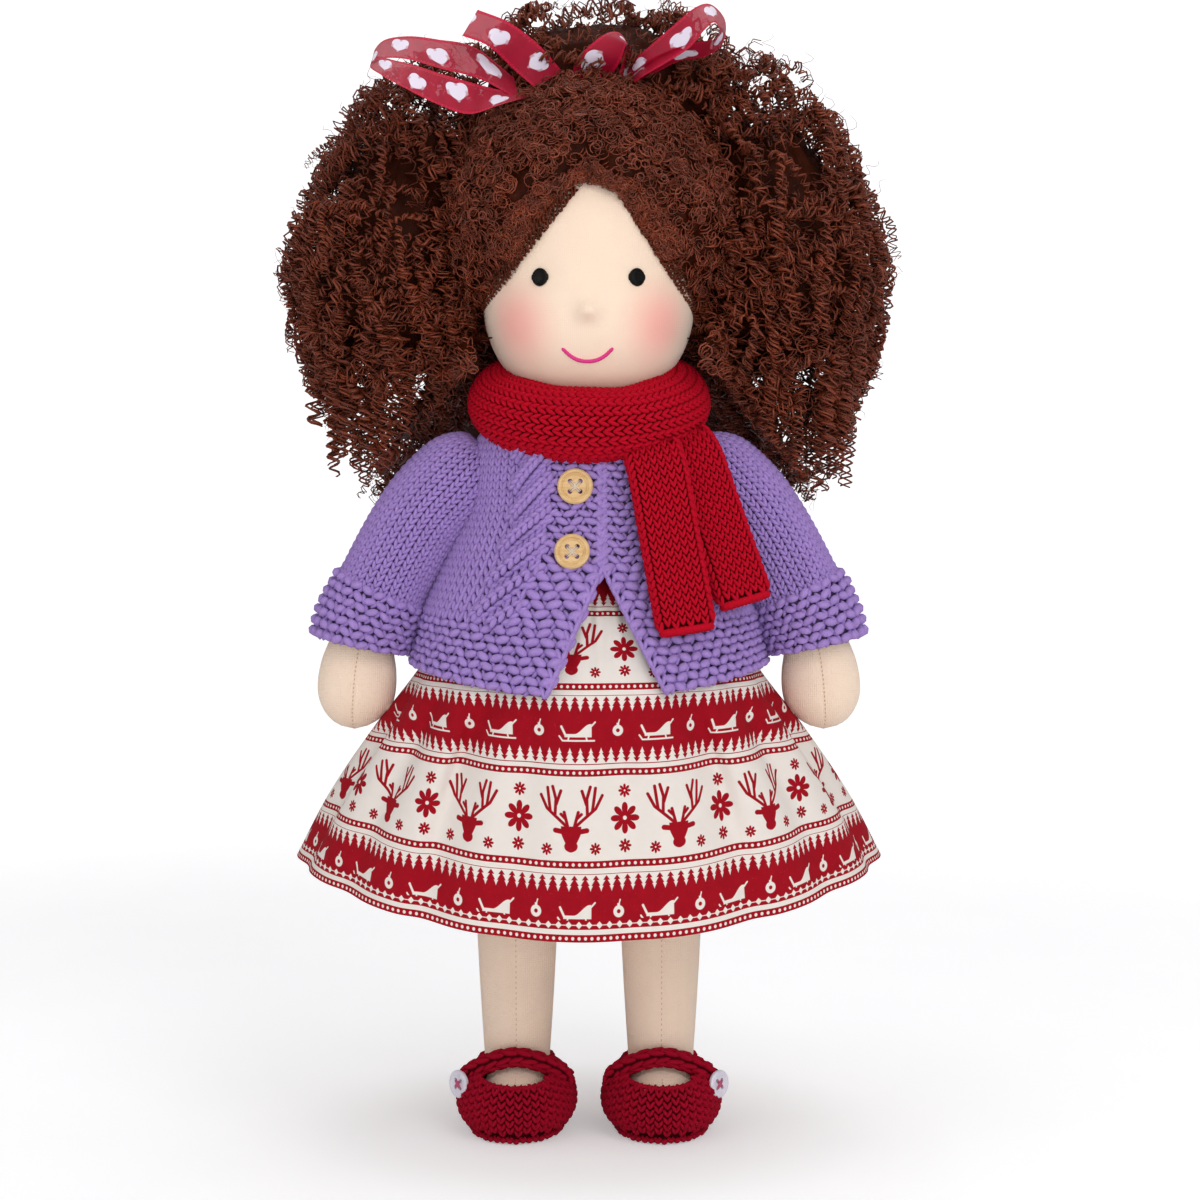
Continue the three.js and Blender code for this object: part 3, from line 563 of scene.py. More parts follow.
def jersey(name, tone, grain=0.26):
    """Fine cotton jersey: soft colour changes and the lines of its tiny knitted columns."""
    finish = Finish(name, {"Roughness": 0.85, "Sheen Weight": 0.25, "Specular IOR Level": 0.2})
    points = finish.points()
    x, z = points.axis("X"), points.axis("Z")
    columns = (x * 9.5).wave() * 0.5 + (z * 7.5).wave() * 0.3
    height = columns * 0.35 + points.noise(1.9, 4.0)
    soft = points.noise(0.06)
    shade = toned(tone, 0.97, 0.92, 0.87)
    colour = (soft * 0.6 + points.noise(1.8) * 0.5 - 0.05).between(shade, tone)
    return finish, points, colour, finish.bump(height, grain)


def skin_material():
    """Jersey of the body and limbs."""
    finish, _, colour, bump = jersey("skin_jersey", colours().skin)
    return finish.paint(Base_Color=colour, Normal=bump)


def face_material():
    """Jersey of the head, with rubbed cheeks and a painted shade under the nose."""
    finish, points, colour, bump = jersey("face_jersey", colours().skin, 0.08)
    front = points.axis("Y").step(-4.0, -22.0)
    for side in (-1, 1):
        away = points.vector("DISTANCE", (side * 24.6, -26.5, 281.5), "Value")
        colour = (away.step(20.0, 1.0) * front * 0.7).between(colour, colours().blush)
    # Painted shade: a soft darker spot under the nose, where the nose's shadow falls.
    below = points.vector("DISTANCE", (0, -41, 280.6), "Value").step(5.0, 1.0)
    colour = (below * 0.6).between(colour, toned(colours().skin, 0.78, 0.66, 0.58))
    return finish.paint(Base_Color=colour, Normal=bump)


def yarn_material(name, tone, depth=0.5, fibre=0.16, sheen=0.12):
    """Soft wool yarn: fibres and small colour changes towards a darker tone."""
    finish = Finish(name, {
        "Roughness": 0.95, "Sheen Weight": sheen, "Sheen Roughness": 0.5, "Sheen Tint": tone,
        "Specular IOR Level": 0.12,
    })
    points = finish.points()
    shift = points.noise(0.35) * 0.5 + points.noise(2.4, 4.0) * 0.9 - 0.1
    height = points.noise(3.4, 4.0) + points.noise(9.0, 2.0) * 0.5
    return finish.paint(Base_Color=shift.between(toned(tone, depth), tone), Normal=finish.bump(height, fibre))


def shade_ground_material(name, tone, share):
    """The inside of a knit, seen between its stitches: the yarn darkened as painted shade."""
    # Painted shade: the share darkens the yarn where only shade is seen.
    return yarn_material(name, toned(tone, share), 0.6, 0.16, 0.0)


def thread_material(name, tone, roughness=0.6):
    """Twisted sewing or embroidery thread."""
    finish = Finish(name, {"Roughness": roughness})
    points = finish.points()
    twist = ((points.axis("X") + points.axis("Z") * 0.7) * 14.0).wave() * 0.5 + 0.5
    colour = (twist * 0.7 + points.noise(4.0) * 0.4).between(toned(tone, 0.7), tone)
    return finish.paint(Base_Color=colour, Normal=finish.bump(twist, 0.08))


def hair_material(name="hair_yarn", light=1.0, gloss=0.3):
    """Glossy brown hair yarn whose locks differ in tone."""
    # The light share makes lit and shaded copies of the hair: above 1 it is painted light, below 1 painted
    # shade.
    tone = toned(colours().hair, light)
    finish = Finish(name, {"Specular IOR Level": gloss})
    points = finish.points()
    locks = points.noise(0.16, 3.0)
    fine = points.noise(1.5, 4.0)
    warm = (min(tone[0] * 1.7, 1), tone[1] * 1.45, tone[2] * 1.3, 1)
    colour = (locks * 1.2 + fine * 0.8 - 0.5).between(toned(tone, 0.3), warm)
    height = points.noise(5.0, 3.0)
    return finish.paint(Base_Color=colour, Roughness=0.26 + fine * 0.22, Normal=finish.bump(height, 0.1))


def wool_material():
    """Carded sheep's wool of the stuffing."""
    finish = Finish("wool_stuffing", {"Roughness": 1.0, "Sheen Weight": 0.4})
    points = finish.points()
    tufts = points.noise(0.5, 5.0)
    colour = tufts.between((0.62, 0.56, 0.46, 1), (0.9, 0.86, 0.78, 1))
    return finish.paint(Base_Color=colour, Normal=finish.bump(tufts, 0.8))


def eye_material():
    """Black silk thread laid in close satin stitches."""
    finish = Finish("eye_black", {"Specular IOR Level": 0.1})
    points = finish.points()
    rows = (points.axis("X") * 17.0).wave()
    colour = points.noise(3.0).between((0.004, 0.004, 0.004, 1), (0.012, 0.011, 0.010, 1))
    roughness = 0.2 + points.noise(2.0) * 0.15
    return finish.paint(Base_Color=colour, Roughness=roughness, Normal=finish.bump(rows, 0.03))


# Stage


class DOLL_OT_stage(bpy.types.Operator):
    """Set the floor, the backdrop, the soft lights and the camera"""

    bl_idname = "doll.stage"
    bl_label = "Stage"

    # Soft lights: (name, place and size in metres, power), aimed at the doll's middle
    lights = (
        ("key", (0.6, -1.1, 0.95), 0.8, 4.9),
        ("fill", (-1.0, -0.9, 0.6), 1.3, 2.8),
        ("top", (0.1, 0.2, 1.5), 1.2, 5.5),
        ("front", (0.25, -1.45, 0.16), 0.6, 6.0),
    )
    lit_middle = (0, 0, 0.2)
    world_strength = 0.48
    # Floor and backdrop: (share of the way, y, height) in millimetres, and their width
    floor_line = [(0, -6000, 0), (0.5, 1500, 0), (0.66, 2500, 0), (0.78, 2900, 350), (1, 3000, 3200)]
    floor_width = 9000
    sensor, lens = 36, 72.4

    def execute(self, context):
        self.backdrop()
        for light in self.lights:
            self.light(*light)
        self.world(context)
        self.camera(context)
        context.scene.view_settings.view_transform = "Standard"
        return {"FINISHED"}

    def backdrop(self):
        """A pale floor that curves up behind the doll."""

        def place(u, v):
            y, z = smooth(self.floor_line, v)
            return Vector(((u - 0.5) * self.floor_width, y, max(z, 0)))

        obj = smooth_object(surface(8, 60, place, closed=False), "floor", self.paper())
        bpy.context.collection.objects.link(obj)
        return obj

    def paper(self):
        """White paper that shows the doll's shadow and lightens for the camera away from it."""
        finish = Finish("paper", {"Roughness": 0.9, "Specular IOR Level": 0.1, "Emission Strength": 1.0})
        points = finish.points()
        grain = points.noise(0.02)
        colour = grain.between((0.86, 0.86, 0.88, 1), (0.9, 0.9, 0.91, 1))
        seen = points.node("ShaderNodeLightPath", {}, {}, "Is Camera Ray")
        away = points.vector("LENGTH", points, "Value").step(350, 1300)
        glow = away.between((0.3, 0.3, 0.3, 1), (0.62, 0.62, 0.62, 1))
        return finish.paint(Base_Color=colour, Emission_Color=seen.between((0, 0, 0, 1), glow))

    def light(self, name, place, size, power):
        """A square soft light aimed at the doll's middle."""
        data = bpy.data.lights.new(name, "AREA")
        data.size = size
        data.energy = power
        obj = bpy.data.objects.new(name, data)
        obj.location = place
        obj.rotation_euler = (Vector(self.lit_middle) - Vector(place)).to_track_quat("-Z", "Y").to_euler()
        bpy.context.collection.objects.link(obj)

    def world(self, context):
        """Even white light from all round."""
        world = bpy.data.worlds.new("studio")
        world.use_nodes = True
        background = world.node_tree.nodes["Background"]
        background.inputs["Color"].default_value = (1.0, 1.0, 1.0, 1)
        background.inputs["Strength"].default_value = self.world_strength
        context.scene.world = world

    def camera(self, context):
        """The photograph's view, from just above the doll's middle."""
        data = bpy.data.cameras.new("camera")
        data.sensor_width = self.sensor
        data.lens = self.lens
        obj = bpy.data.objects.new("camera", data)
        obj.location = [n * MM for n in CAMERA]
        aim = Vector([n * MM for n in CAMERA_AIM]) - Vector(obj.location)
        obj.rotation_euler = aim.to_track_quat("-Z", "Y").to_euler()
        bpy.context.collection.objects.link(obj)
        context.scene.camera = obj


# Body


class DOLL_OT_body(bpy.types.Operator):
    """Build the stuffed head, trunk, arms and legs"""

    bl_idname = "doll.body"
    bl_label = "Body"

    def execute(self, context):
        skin = skin_material()
        seam = thread_material("skin_seam", screen_colour(226, 186, 150), 0.8)
        self.head()
        trunk = surface(64, 60, ring_place(TORSO, TORSO[0][0], TORSO[-1][0]))
        finish_piece(trunk, "trunk", skin, "torso", ["torso_skin"])
        for word, sign in SIDES:
            self.arm(word, sign, skin, seam)
            self.leg(word, sign, skin, seam)
        self.inside()
        return {"FINISHED"}

    def head(self):
        """The tied head: a full round cheek, a soft eye line and a bead under the skin for the nose."""
        plain = ring_place(HEAD, HEAD[0][0], HEAD[-1][0])

        def place(u, v):
            point = plain(u, v)
            if point.y < 0:
                for x, z, width, height, forward in (NOSE, BRIDGE, *CHEEKS, *EYE_SOCKETS):
                    away = ((point.x - x) / width) ** 2 + ((point.z - z) / height) ** 2
                    point.y -= forward * math.exp(-away)
            return point

        bm = surface(160, 128, place)
        piece = finish_piece(bm, "head", face_material(), "head", ["head_skin"])

    def arm(self, word, sign, skin, seam):
        """A stuffed arm that ends in a mitten hand, with a stitched seam down its front."""
        place = limb_place(ARM, sign, ARM[0][0], ARM[-1][0], HAND_FLATNESS)

        def seamed(u, v):
            point = place(u, v)
            point.y += seam_groove(u)
            return point

        bm = surface(72, 90, seamed)
        piece = finish_piece(bm, f"arm_{word}", skin, f"arm_{word}", [f"arm_skin_{word}"])
        self.seam(place, f"arm_seam_{word}", seam, f"arm_{word}", [0.006 + 0.0135 * i for i in range(30)])

    def leg(self, word, sign, skin, seam):
        """A stuffed leg with a foot that points forward and a stitched seam down its front."""
        plain = ring_place(LEG, LEG[0][0], LEG[-1][0])

        def shaft(u, v):
            point = plain(u, v) + Vector((sign * HIP.x, 0, 0))
            point.y += seam_groove(u)
            return point

        def foot(u, v):
            turn = math.pi * v
            angle = TURN * (u - 0.25)
            across = FOOT_SIZE[0] * math.sin(turn) * math.cos(angle)
            ahead = FOOT_SIZE[1] * math.sin(turn) * math.sin(angle)
            z = FOOT_CENTRE[1] - FOOT_SIZE[2] * math.cos(turn)
            return Vector((sign * HIP.x + across, FOOT_CENTRE[0] + ahead, z))

        body = f"leg_{word}"
        bm = surface(72, 80, shaft)
        piece = finish_piece(bm, f"leg_{word}", skin, body, [f"leg_skin_{word}"])
        finish_piece(surface(56, 32, foot), f"foot_{word}", skin, body)
        self.seam(shaft, f"leg_seam_{word}", seam, body, [0.1 + 0.0125 * i for i in range(52)])
        self.seam(foot, f"foot_seam_{word}", seam, body, [0.55 + 0.03 * i for i in range(9)])

    def seam(self, place, name, material, body, shares):
        """Small sunken stitches down the front of a limb."""
        stitches = Stitches()
        for share in shares:
            spot = spot_at(place, 0.0, share)
            stitches.lobe(lobe_matrix(spot, 0.08, 0.34, 0.95, 0.3, 0, 0.0))
        stitches.finish(name, material, body, "sewing_thread")

    def inside(self):
        """The stuffing and the neck tie, which stay as the CAD pieces under the skin."""
        wool = wool_material()
        for name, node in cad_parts.items():
            if "stuffing" in name or name == "head_core":
                node.data.materials.clear()
                node.data.materials.append(wool)
        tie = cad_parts["neck_tie"]
        tie.data.materials.clear()
        tie.data.materials.append(thread_material("neck_thread", screen_colour(232, 220, 200)))


class DOLL_OT_face(bpy.types.Operator):
    """Embroider the eyes and the mouth"""

    bl_idname = "doll.face"
    bl_label = "Face"

    eye_x, eye_z = 16.2, 297
    eye_half_width, eye_height = 2.85, 6.3
    eye_lines = 13
    mouth_x, mouth_z = -0.3, 268.8
    mouth_half_width, mouth_rise = 8.3, 4.2
    mouth_stitches = 20

    def execute(self, context):
        for word, sign in SIDES:
            self.eye(word, sign)
        self.mouth()
        return {"FINISHED"}

    def eye(self, word, sign):
        """A padded oval of satin stitches."""
        x, z = sign * self.eye_x, self.eye_z
        depth = math.sqrt(smooth(HEAD, z)[0] ** 2 - x * x)
        out = Vector((x, -depth, 0)).normalized()
        side = Vector((-out.y, out.x, 0))
        stitches = Stitches()
        for i in range(self.eye_lines):
            share = (i + 0.5) / self.eye_lines * 2 - 1
            full = math.sqrt(1 - share * share)
            across = side * share * self.eye_half_width
            centre = Vector((x, -depth + 0.55, z)) + across + out * (0.55 * full)
            spot = Spot(centre, side, Vector((0, 0, 1)), out)
            stitches.lobe(lobe_matrix(spot, 0.0, 0.95, self.eye_height * full, 2.0), 8, 10)
        stitches.finish(f"eye_stitches_{word}", eye_material(), "head", "eye_black", [f"eye_{word}"])

    def mouth(self):
        """A smiling line of stem stitches, a little uneven."""
        rng = random.Random(5)
        stitches = Stitches()
        axes = Vector((1, 0, 0)), Vector((0, 0, 1)), Vector((0, -1, 0))
        for i in range(self.mouth_stitches):
            share = (i + 0.5) / self.mouth_stitches * 2 - 1
            x = share * self.mouth_half_width + self.mouth_x
            z = self.mouth_z + self.mouth_rise * abs(share) ** 2.3
            depth = math.sqrt(smooth(HEAD, z)[0] ** 2 - x * x)
            spot = Spot(Vector((x, -depth - 0.15, z)), *axes)
            slope = math.copysign(1.15 * abs(share) ** 1.3, share)
            tilt = math.pi / 2 - math.atan(slope) + rng.uniform(-0.1, 0.1) - 0.12
            stitches.lobe(lobe_matrix(spot, tilt, 1.4, 2.3, 1.4, 0, 0.25), 6, 6)
        thread = thread_material("mouth_pink", colours().mouth)
        stitches.finish("mouth_stitches", thread, "head", "mouth_pink", ["mouth_thread"])


# Hair

HAIR_CAP = (Vector((0, 3, 316)), Vector((51, 47, 54)))
HAIR_CROWN = (Vector((4, 20, 364)), Vector((54, 34, 35)))
HAIR_BACK = (Vector((0, 44, 322)), Vector((60, 32, 60)))
HAIR_PUFF = (Vector((71, 16, 302)), Vector((38, 36, 76)))
PUFF_LEAN = (-0.18, 0.12)
# Room that the shoulders and the scarf need as the head turns: (height, radius)
UNDER_HAIR = [(150, 140), (205, 93), (229, 77), (246, 62), (262, 50), (278, 47)]
# Hair low behind the face, round the neck's room: (height, half width, half depth)
HAIR_NAPE = [
    (243, 66, 66), (250, 61, 61), (257, 56, 56), (268, 51.5, 51.5), (285, 50, 49), (310, 50, 46), (334, 45, 41),
]
# Innermost strand of the fringe on each side: (position, x, height)
FRINGE = {
    -1: [(0, -4.6, 327), (1, -18.1, 310.5), (2, -29.9, 296.5), (3, -37.5, 288.5)],
    1: [(0, 9.5, 329), (1, 18.6, 314), (2, 29.4, 298.4), (3, 39.0, 285)],
}
FRINGE_OUTWARD = (0.72, 0.69)
# Hairline: (height, half width of the bare face)
HAIRLINE = [(250, 38), (284, 37.5), (293, 35), (310, 25), (326, 11), (331, 0), (350, -19), (380, -49)]


def clear_of_shoulders(point):
    """Moves a point of hair out of the room under it."""
    if point.z < UNDER_HAIR[-1][0]:
        room = smooth(UNDER_HAIR, max(point.z, 200))[0]
        away = math.hypot(point.x, point.y)
        if away < room:
            point.x *= room / away
            point.y *= room / away
    return point


def hairline_gap(point):
    """How far a point is outside the bare face, seen from the front."""
    gap = abs(point.x) - smooth(HAIRLINE, point.z)[0]
    return gap + max(0, point.y + 8) * 1.5


def mass_form(centre, size):
    """form(direction, depth) on a rounded mass of hair."""

    def form(direction, depth):
        return centre + Vector(d * s * depth for d, s in zip(direction, size))

    return form


def puff_form(sign):
    """form(direction, depth) on a side puff, whose ends lean towards the head."""
    centre, size = HAIR_PUFF

    def form(direction, depth):
        mirrored = (sign * direction[0], direction[1], direction[2])
        local = Vector(d * s * depth for d, s in zip(mirrored, size))
        local.x += PUFF_LEAN[0 if local.z > 0 else 1] * local.z
        point = Vector((sign * (local.x + centre.x), local.y + centre.y, local.z + centre.z))
        return clear_of_shoulders(point)

    return form


def back_form(direction, depth):
    """The hair behind the head, clear of the shoulders."""
    return clear_of_shoulders(mass_form(*HAIR_BACK)(direction, depth))


def cap_form(direction, depth):
    """The cap of curls, which falls to the skin at the hairline."""
    centre, size = HAIR_CAP
    point = centre + Vector(d * s * depth for d, s in zip(direction, size))
    rise = min(max(hairline_gap(point) / 16, 0), 1)
    rise = rise * rise * (3 - 2 * rise)
    skin = Vector((0, 0, 302)) + Vector((point.x, point.y, point.z - 302)).normalized() * 37.5
    return clear_of_shoulders(skin.lerp(point, rise))


def round_direction(u, v):
    """A direction on the unit ball, with v from 0 at the bottom to 1 at the top."""
    tilt = math.pi * (v - 0.5)
    angle = TURN * (u - 0.25)
    return Vector((math.cos(tilt) * math.cos(angle), math.cos(tilt) * math.sin(angle), math.sin(tilt)))


class Locks:
    """Strands of hair, each a spline of one curve that becomes a mesh."""

    def __init__(self):
        self.curve = bpy.data.curves.new("locks", "CURVE")
        self.curve.dimensions = "3D"
        self.section = bpy.data.curves.new("section", "CURVE")
        outline = self.section.splines.new("POLY")
        outline.points.add(2)
        outline.use_cyclic_u = True
        for i, point in enumerate(outline.points):
            point.co = (MM * math.cos(TURN * i / 3), MM * math.sin(TURN * i / 3), 0, 1)
        self.profile = bpy.data.objects.new("section", self.section)
        bpy.context.collection.objects.link(self.profile)
        self.curve.bevel_mode = "OBJECT"
        self.curve.bevel_object = self.profile
        self.curve.use_fill_caps = True

    def strand(self, points, radius, taper=0.35):
        """Adds a strand that thins towards its end."""
        spline = self.curve.splines.new("POLY")
        spline.points.add(len(points) - 1)
        last = len(points) - 1
        for i, (target, point) in enumerate(zip(spline.points, points)):
            target.co = (*(point * MM), 1)
            target.radius = radius * (1 - (1 - taper) * (i / last) ** 3)

    def finish(self, name, material, replaced=()):
        """Makes the strands one piece that rides on the head."""
        source = bpy.data.objects.new("locks", self.curve)
        bpy.context.collection.objects.link(source)
        evaluated = source.evaluated_get(bpy.context.evaluated_depsgraph_get())
        mesh = bpy.data.meshes.new_from_object(evaluated)
        bpy.data.objects.remove(source)
        bpy.data.objects.remove(self.profile)
        for curve in (self.curve, self.section):
            bpy.data.curves.remove(curve)
        mesh.name = name
        mesh.shade_smooth()
        mesh.materials.clear()
        mesh.materials.append(material)
        return link(bpy.data.objects.new(name, mesh), "head", replaced)


def corkscrew(line, radius, pitch, phase, per_turn=6, loose=0.0):
    """Points of a curl wound round a line of points, uneven where it is loose."""
    marks = lengths_along(line)
    steps = max(6, int(marks[-1] / pitch * per_turn))
    points = []
    for i in range(steps + 1):
        distance = marks[-1] * i / steps
        k = next((n for n in range(len(line) - 2) if distance <= marks[n + 1]), len(line) - 2)
        ahead = (line[k + 1] - line[k]).normalized()
        centre = line[k] + ahead * (distance - marks[k])
        side = ahead.cross(Vector((0.3, 0.9, 0.2))).normalized()
        up = side.cross(ahead)
        uneven = loose * noise.noise(Vector((distance * 0.3, phase * 9, 0)))
        turn = phase + TURN * distance / pitch + 2.5 * uneven
        points.append(centre + (side * math.cos(turn) + up * math.sin(turn)) * radius * (1 + uneven))
    return points


def lock_line(form, pole, start, reach, depth, rng, count=7):
    """The middle line of a loose lock that wanders over a mass of hair away from its pole."""
    first = pole.orthogonal().normalized()
    second = pole.cross(first)
    azimuth = rng.uniform(0, TURN)
    sway, beat, phase = rng.uniform(-0.32, 0.32), rng.uniform(2, 6), rng.uniform(0, TURN)
    lift = rng.uniform(-0.03, 0.1)
    line = []
    for i in range(count):
        share = i / (count - 1)
        angle = min(start + reach * share, math.pi - 0.05)
        turn = azimuth + sway * math.sin(beat * share + phase) / max(math.sin(angle), 0.35)
        around = first * math.cos(turn) + second * math.sin(turn)
        direction = pole * math.cos(angle) + around * math.sin(angle)
        line.append(form(direction, depth + lift * share + 0.035 * math.sin(2 * beat * share + phase)))
    return line


def hanging(line, rng, fall):
    """A line of hair with a loose end that hangs from it."""
    drift = Vector((rng.uniform(-0.3, 0.3), rng.uniform(-0.3, 0.3), -1)).normalized()
    last = line[-1]
    ends = [last + drift * fall * share for share in (0.25, 0.5, 0.75, 1.0)]
    return line + [clear_of_shoulders(end) for end in ends]


class DOLL_OT_hair(bpy.types.Operator):
    """Build the curly hair: tight rings over the cap and corkscrew locks in the puffs"""

    bl_idname = "doll.hair"
    bl_label = "Hair"

    # How many of each kind of curl: on each side where it has sides, and otherwise in all
    crown_locks, back_locks = 190, 300
    nape_curls, ringlet_count = 150, 30
    ring_count, edge_ring_count = 1500, 460
    fringe_strands, fringe_hairs = 5, 44
    wisp_count = 330
    # Shares of the way out from the middle of a puff
    outer_layer, inner_layer = (0.84, 0.99), (0.68, 0.86)

    def execute(self, context):
        # Painted light and shade: a lit copy of the hair for the cap's curls, a dark shadow copy for the sheets
        # in the hair's depth, and a shaded copy for the inner locks and the nape.
        hair = hair_material()
        lit = hair_material("hair_lit", 1.2, 0.4)
        shadow = hair_material("hair_shadow", 0.22, 0.04)
        shaded_inner = hair_material("hair_shaded_inner", 0.62)
        self.under_hair(shadow)
        count = context.scene.doll_sizes.locks // 2
        for word, sign in SIDES:
            pole = Vector((-sign * 0.62, -0.1, 0.78)).normalized()
            form, puff = puff_form(sign), [f"hair_puff_{word}"]
            self.locks(f"hair_locks_{word}", form, pole, count, 40 + sign, self.outer_layer, hair, puff)
            self.locks(f"hair_more_{word}", form, pole, count, 44 + sign, self.outer_layer, hair)
            # The inner layer takes the shaded copy: painted shade.
            self.locks(f"hair_inner_{word}", form, pole, count, 50 + sign, self.inner_layer, shaded_inner, strands=1)
            self.ringlets(f"hair_ringlets_{word}", form, 91 + sign, hair)
        crown, pole = mass_form(*HAIR_CROWN), Vector((0, -0.75, -0.4)).normalized()
        self.locks("hair_locks_crown", crown, pole, self.crown_locks, 7, (0.8, 0.99), hair, ["hair_crown"])
        pole = Vector((0, -0.3, 0.95)).normalized()
        self.locks(
            "hair_locks_back", back_form, pole, self.back_locks, 9, (0.86, 1.0), hair, ["hair_back"], size=1.5
        )
        # The nape's corkscrews take the shaded copy: painted shade.
        self.nape(shaded_inner)
        # The cap's ring curls take the lit copy: painted light.
        for word, sign in SIDES:
            self.rings(f"hair_rings_{word}", sign, lit)
        self.fringe(hair_material("hair_fringe", 0.7, 0.15))
        self.wisps(hair)
        return {"FINISHED"}

    def under_hair(self, material):
        """Painted shade: dark sheets in the depth of the hair, seen between the locks; they end above the
        hanging tips.
        """

        def raised(form):
            return lambda d, depth: form(Vector((d.x, d.y, d.z * (0.66 if d.z < 0 else 1))), depth)

        def rough(form, depth, seed):
            def place(u, v):
                direction = round_direction(u, v)
                bumps = noise.noise(direction * 9 + Vector((seed, 0, 0))) + 0.5 * noise.noise(direction * 21)
                return form(direction, depth + 0.06 * bumps)

            return place

        forms = {
            "hair_depth_right": rough(raised(puff_form(-1)), 0.7, 1),
            "hair_depth_left": rough(raised(puff_form(1)), 0.7, 2),
            "hair_depth_crown": rough(mass_form(*HAIR_CROWN), 0.74, 3),
            "hair_depth_back": rough(back_form, 0.84, 4),
        }
        for name, place in forms.items():
            finish_piece(surface(72, 48, place), name, material, "head")
        cap = surface(120, 90, rough(cap_form, 0.93, 5))
        remove_faces(cap, lambda middle: hairline_gap(middle) < 2.2 or middle.z < 272)
        finish_piece(cap, "hair_depth_cap", material, "head", ["hair_cap"])
        nape = surface(96, 24, ring_place(HAIR_NAPE, HAIR_NAPE[0][0], HAIR_NAPE[-1][0]))
        remove_faces(nape, lambda middle: middle.y < -4)
        finish_piece(nape, "hair_depth_nape", material, "head")

    def locks(self, name, form, pole, count, seed, depths, material, replaced=(), strands=2, size=1.0):
        """Loose corkscrew locks that cover a mass of hair, fewer of them low down."""
        rng = random.Random(seed)
        locks = Locks()
        placed = 0
        while placed < count:
            start = math.acos(rng.uniform(-0.93, 1.0))
            line = lock_line(form, pole, start, rng.uniform(0.22, 0.55), rng.uniform(*depths), rng)
            middle = line[len(line) // 2]
            if self.hidden(middle) or middle.z < 258 and middle.y < 30 and rng.random() < 0.75:
                continue
            placed += 1
            low = line[-1].z < 285 and line[-1].y < 40
            if low and rng.random() < 0.3:
                line = hanging(line, rng, rng.uniform(5, 12))
            curl = size_of("curl") * rng.uniform(0.6, 1.3) * size
            pitch = curl * rng.uniform(1.7, 2.7)
            phase = rng.uniform(0, TURN)
            thick = size_of("strand") * rng.uniform(0.75, 1.2)
            for shift, share in ((0, 1.0), (rng.uniform(0.9, 2.4), 0.7))[:strands]:
                locks.strand(corkscrew(line, curl, pitch, phase + shift, 5, 0.9), thick * share)
        locks.finish(name, material, replaced)

    def nape(self, material):
        """Corkscrews that hang side by side round the back of the neck."""
        rng = random.Random(95)
        locks = Locks()
        for n in range(self.nape_curls):
            angle = math.pi * (n + rng.uniform(-0.6, 0.6)) / (self.nape_curls - 1)
            top, low = rng.uniform(270, 300), rng.uniform(242, 250)
            out = rng.uniform(0.6, 3.2)
            line = []
            for i in range(7):
                z = top + (low - top) * i / 6
                width, depth = smooth(HAIR_NAPE, max(z, HAIR_NAPE[0][0]))
                line.append(Vector(((width + out) * math.cos(angle), (depth + out) * math.sin(angle), z)))
            curl = size_of("curl") * rng.uniform(0.9, 1.3)
            points = corkscrew(line, curl, curl * 2.1, rng.uniform(0, TURN), 5, 0.8)
            locks.strand(points, size_of("strand") * 1.3, 0.6)
        locks.finish("hair_nape", material)

    def ringlets(self, name, form, seed, material):
        """Single corkscrews that hang apart below a puff."""
        rng = random.Random(seed)
        locks = Locks()
        placed = 0
        while placed < self.ringlet_count:
            direction = Vector((rng.uniform(-1, 1), rng.uniform(-0.9, 0.4), -rng.uniform(0.3, 0.95)))
            start = form(direction.normalized(), rng.uniform(0.8, 0.95))
            fall = rng.uniform(12, 30)
            end = start - Vector((0, 0, fall))
            if end.z < 224 or (clear_of_shoulders(end.copy()) - end).length > 3:
                continue
            placed += 1
            sway = Vector((rng.uniform(-4, 4), rng.uniform(-3, 3), 0))
            line = []
            for i in range(9):
                hung = start + Vector((0, 0, 12 - (fall + 12) * i / 8))
                line.append(hung + sway * math.sin(2.2 * i / 8))
            curl = size_of("curl") * rng.uniform(0.9, 1.4)
            phase = rng.uniform(0, TURN)
            for shift in (0, 0.8):
                points = corkscrew(line, curl, curl * rng.uniform(1.9, 2.2), phase + shift, 6, 0.5)
                locks.strand(points, size_of("strand"), 0.7)
        locks.finish(name, material)

    def hidden(self, point):
        """Whether hair at a point would be inside the cap or the head."""
        centre, size = HAIR_CAP
        away = Vector((p - c) / s for p, c, s in zip(point, centre, size))
        return away.length < 0.9

    def rings(self, name, sign, material):
        """Small ring curls packed over one half of the cap."""
        rng = random.Random(21 + sign)
        locks = Locks()
        placed = 0
        while placed < self.ring_count:
            direction = Vector((sign * abs(rng.gauss(0, 1)), rng.gauss(-0.5, 0.8), rng.gauss(0.25, 1)))
            direction.normalize()
            point = cap_form(direction, rng.uniform(0.92, 1.02))
            if hairline_gap(point) < rng.uniform(-0.6, 1.2) or point.y > 24 or point.z < 264:
                continue
            placed += 1
            self.ring(locks, point, direction, rng)
        placed = 0
        while placed < self.edge_ring_count:
            direction = Vector((sign * abs(rng.gauss(0, 0.5)), -1, rng.uniform(-0.3, 0.9))).normalized()
            point = cap_form(direction, rng.uniform(0.96, 1.01))
            if not -4.2 < hairline_gap(point) < 6:
                continue
            placed += 1
            self.ring(locks, point + direction * 0.8, direction, rng, 0.6)
        locks.finish(name, material)

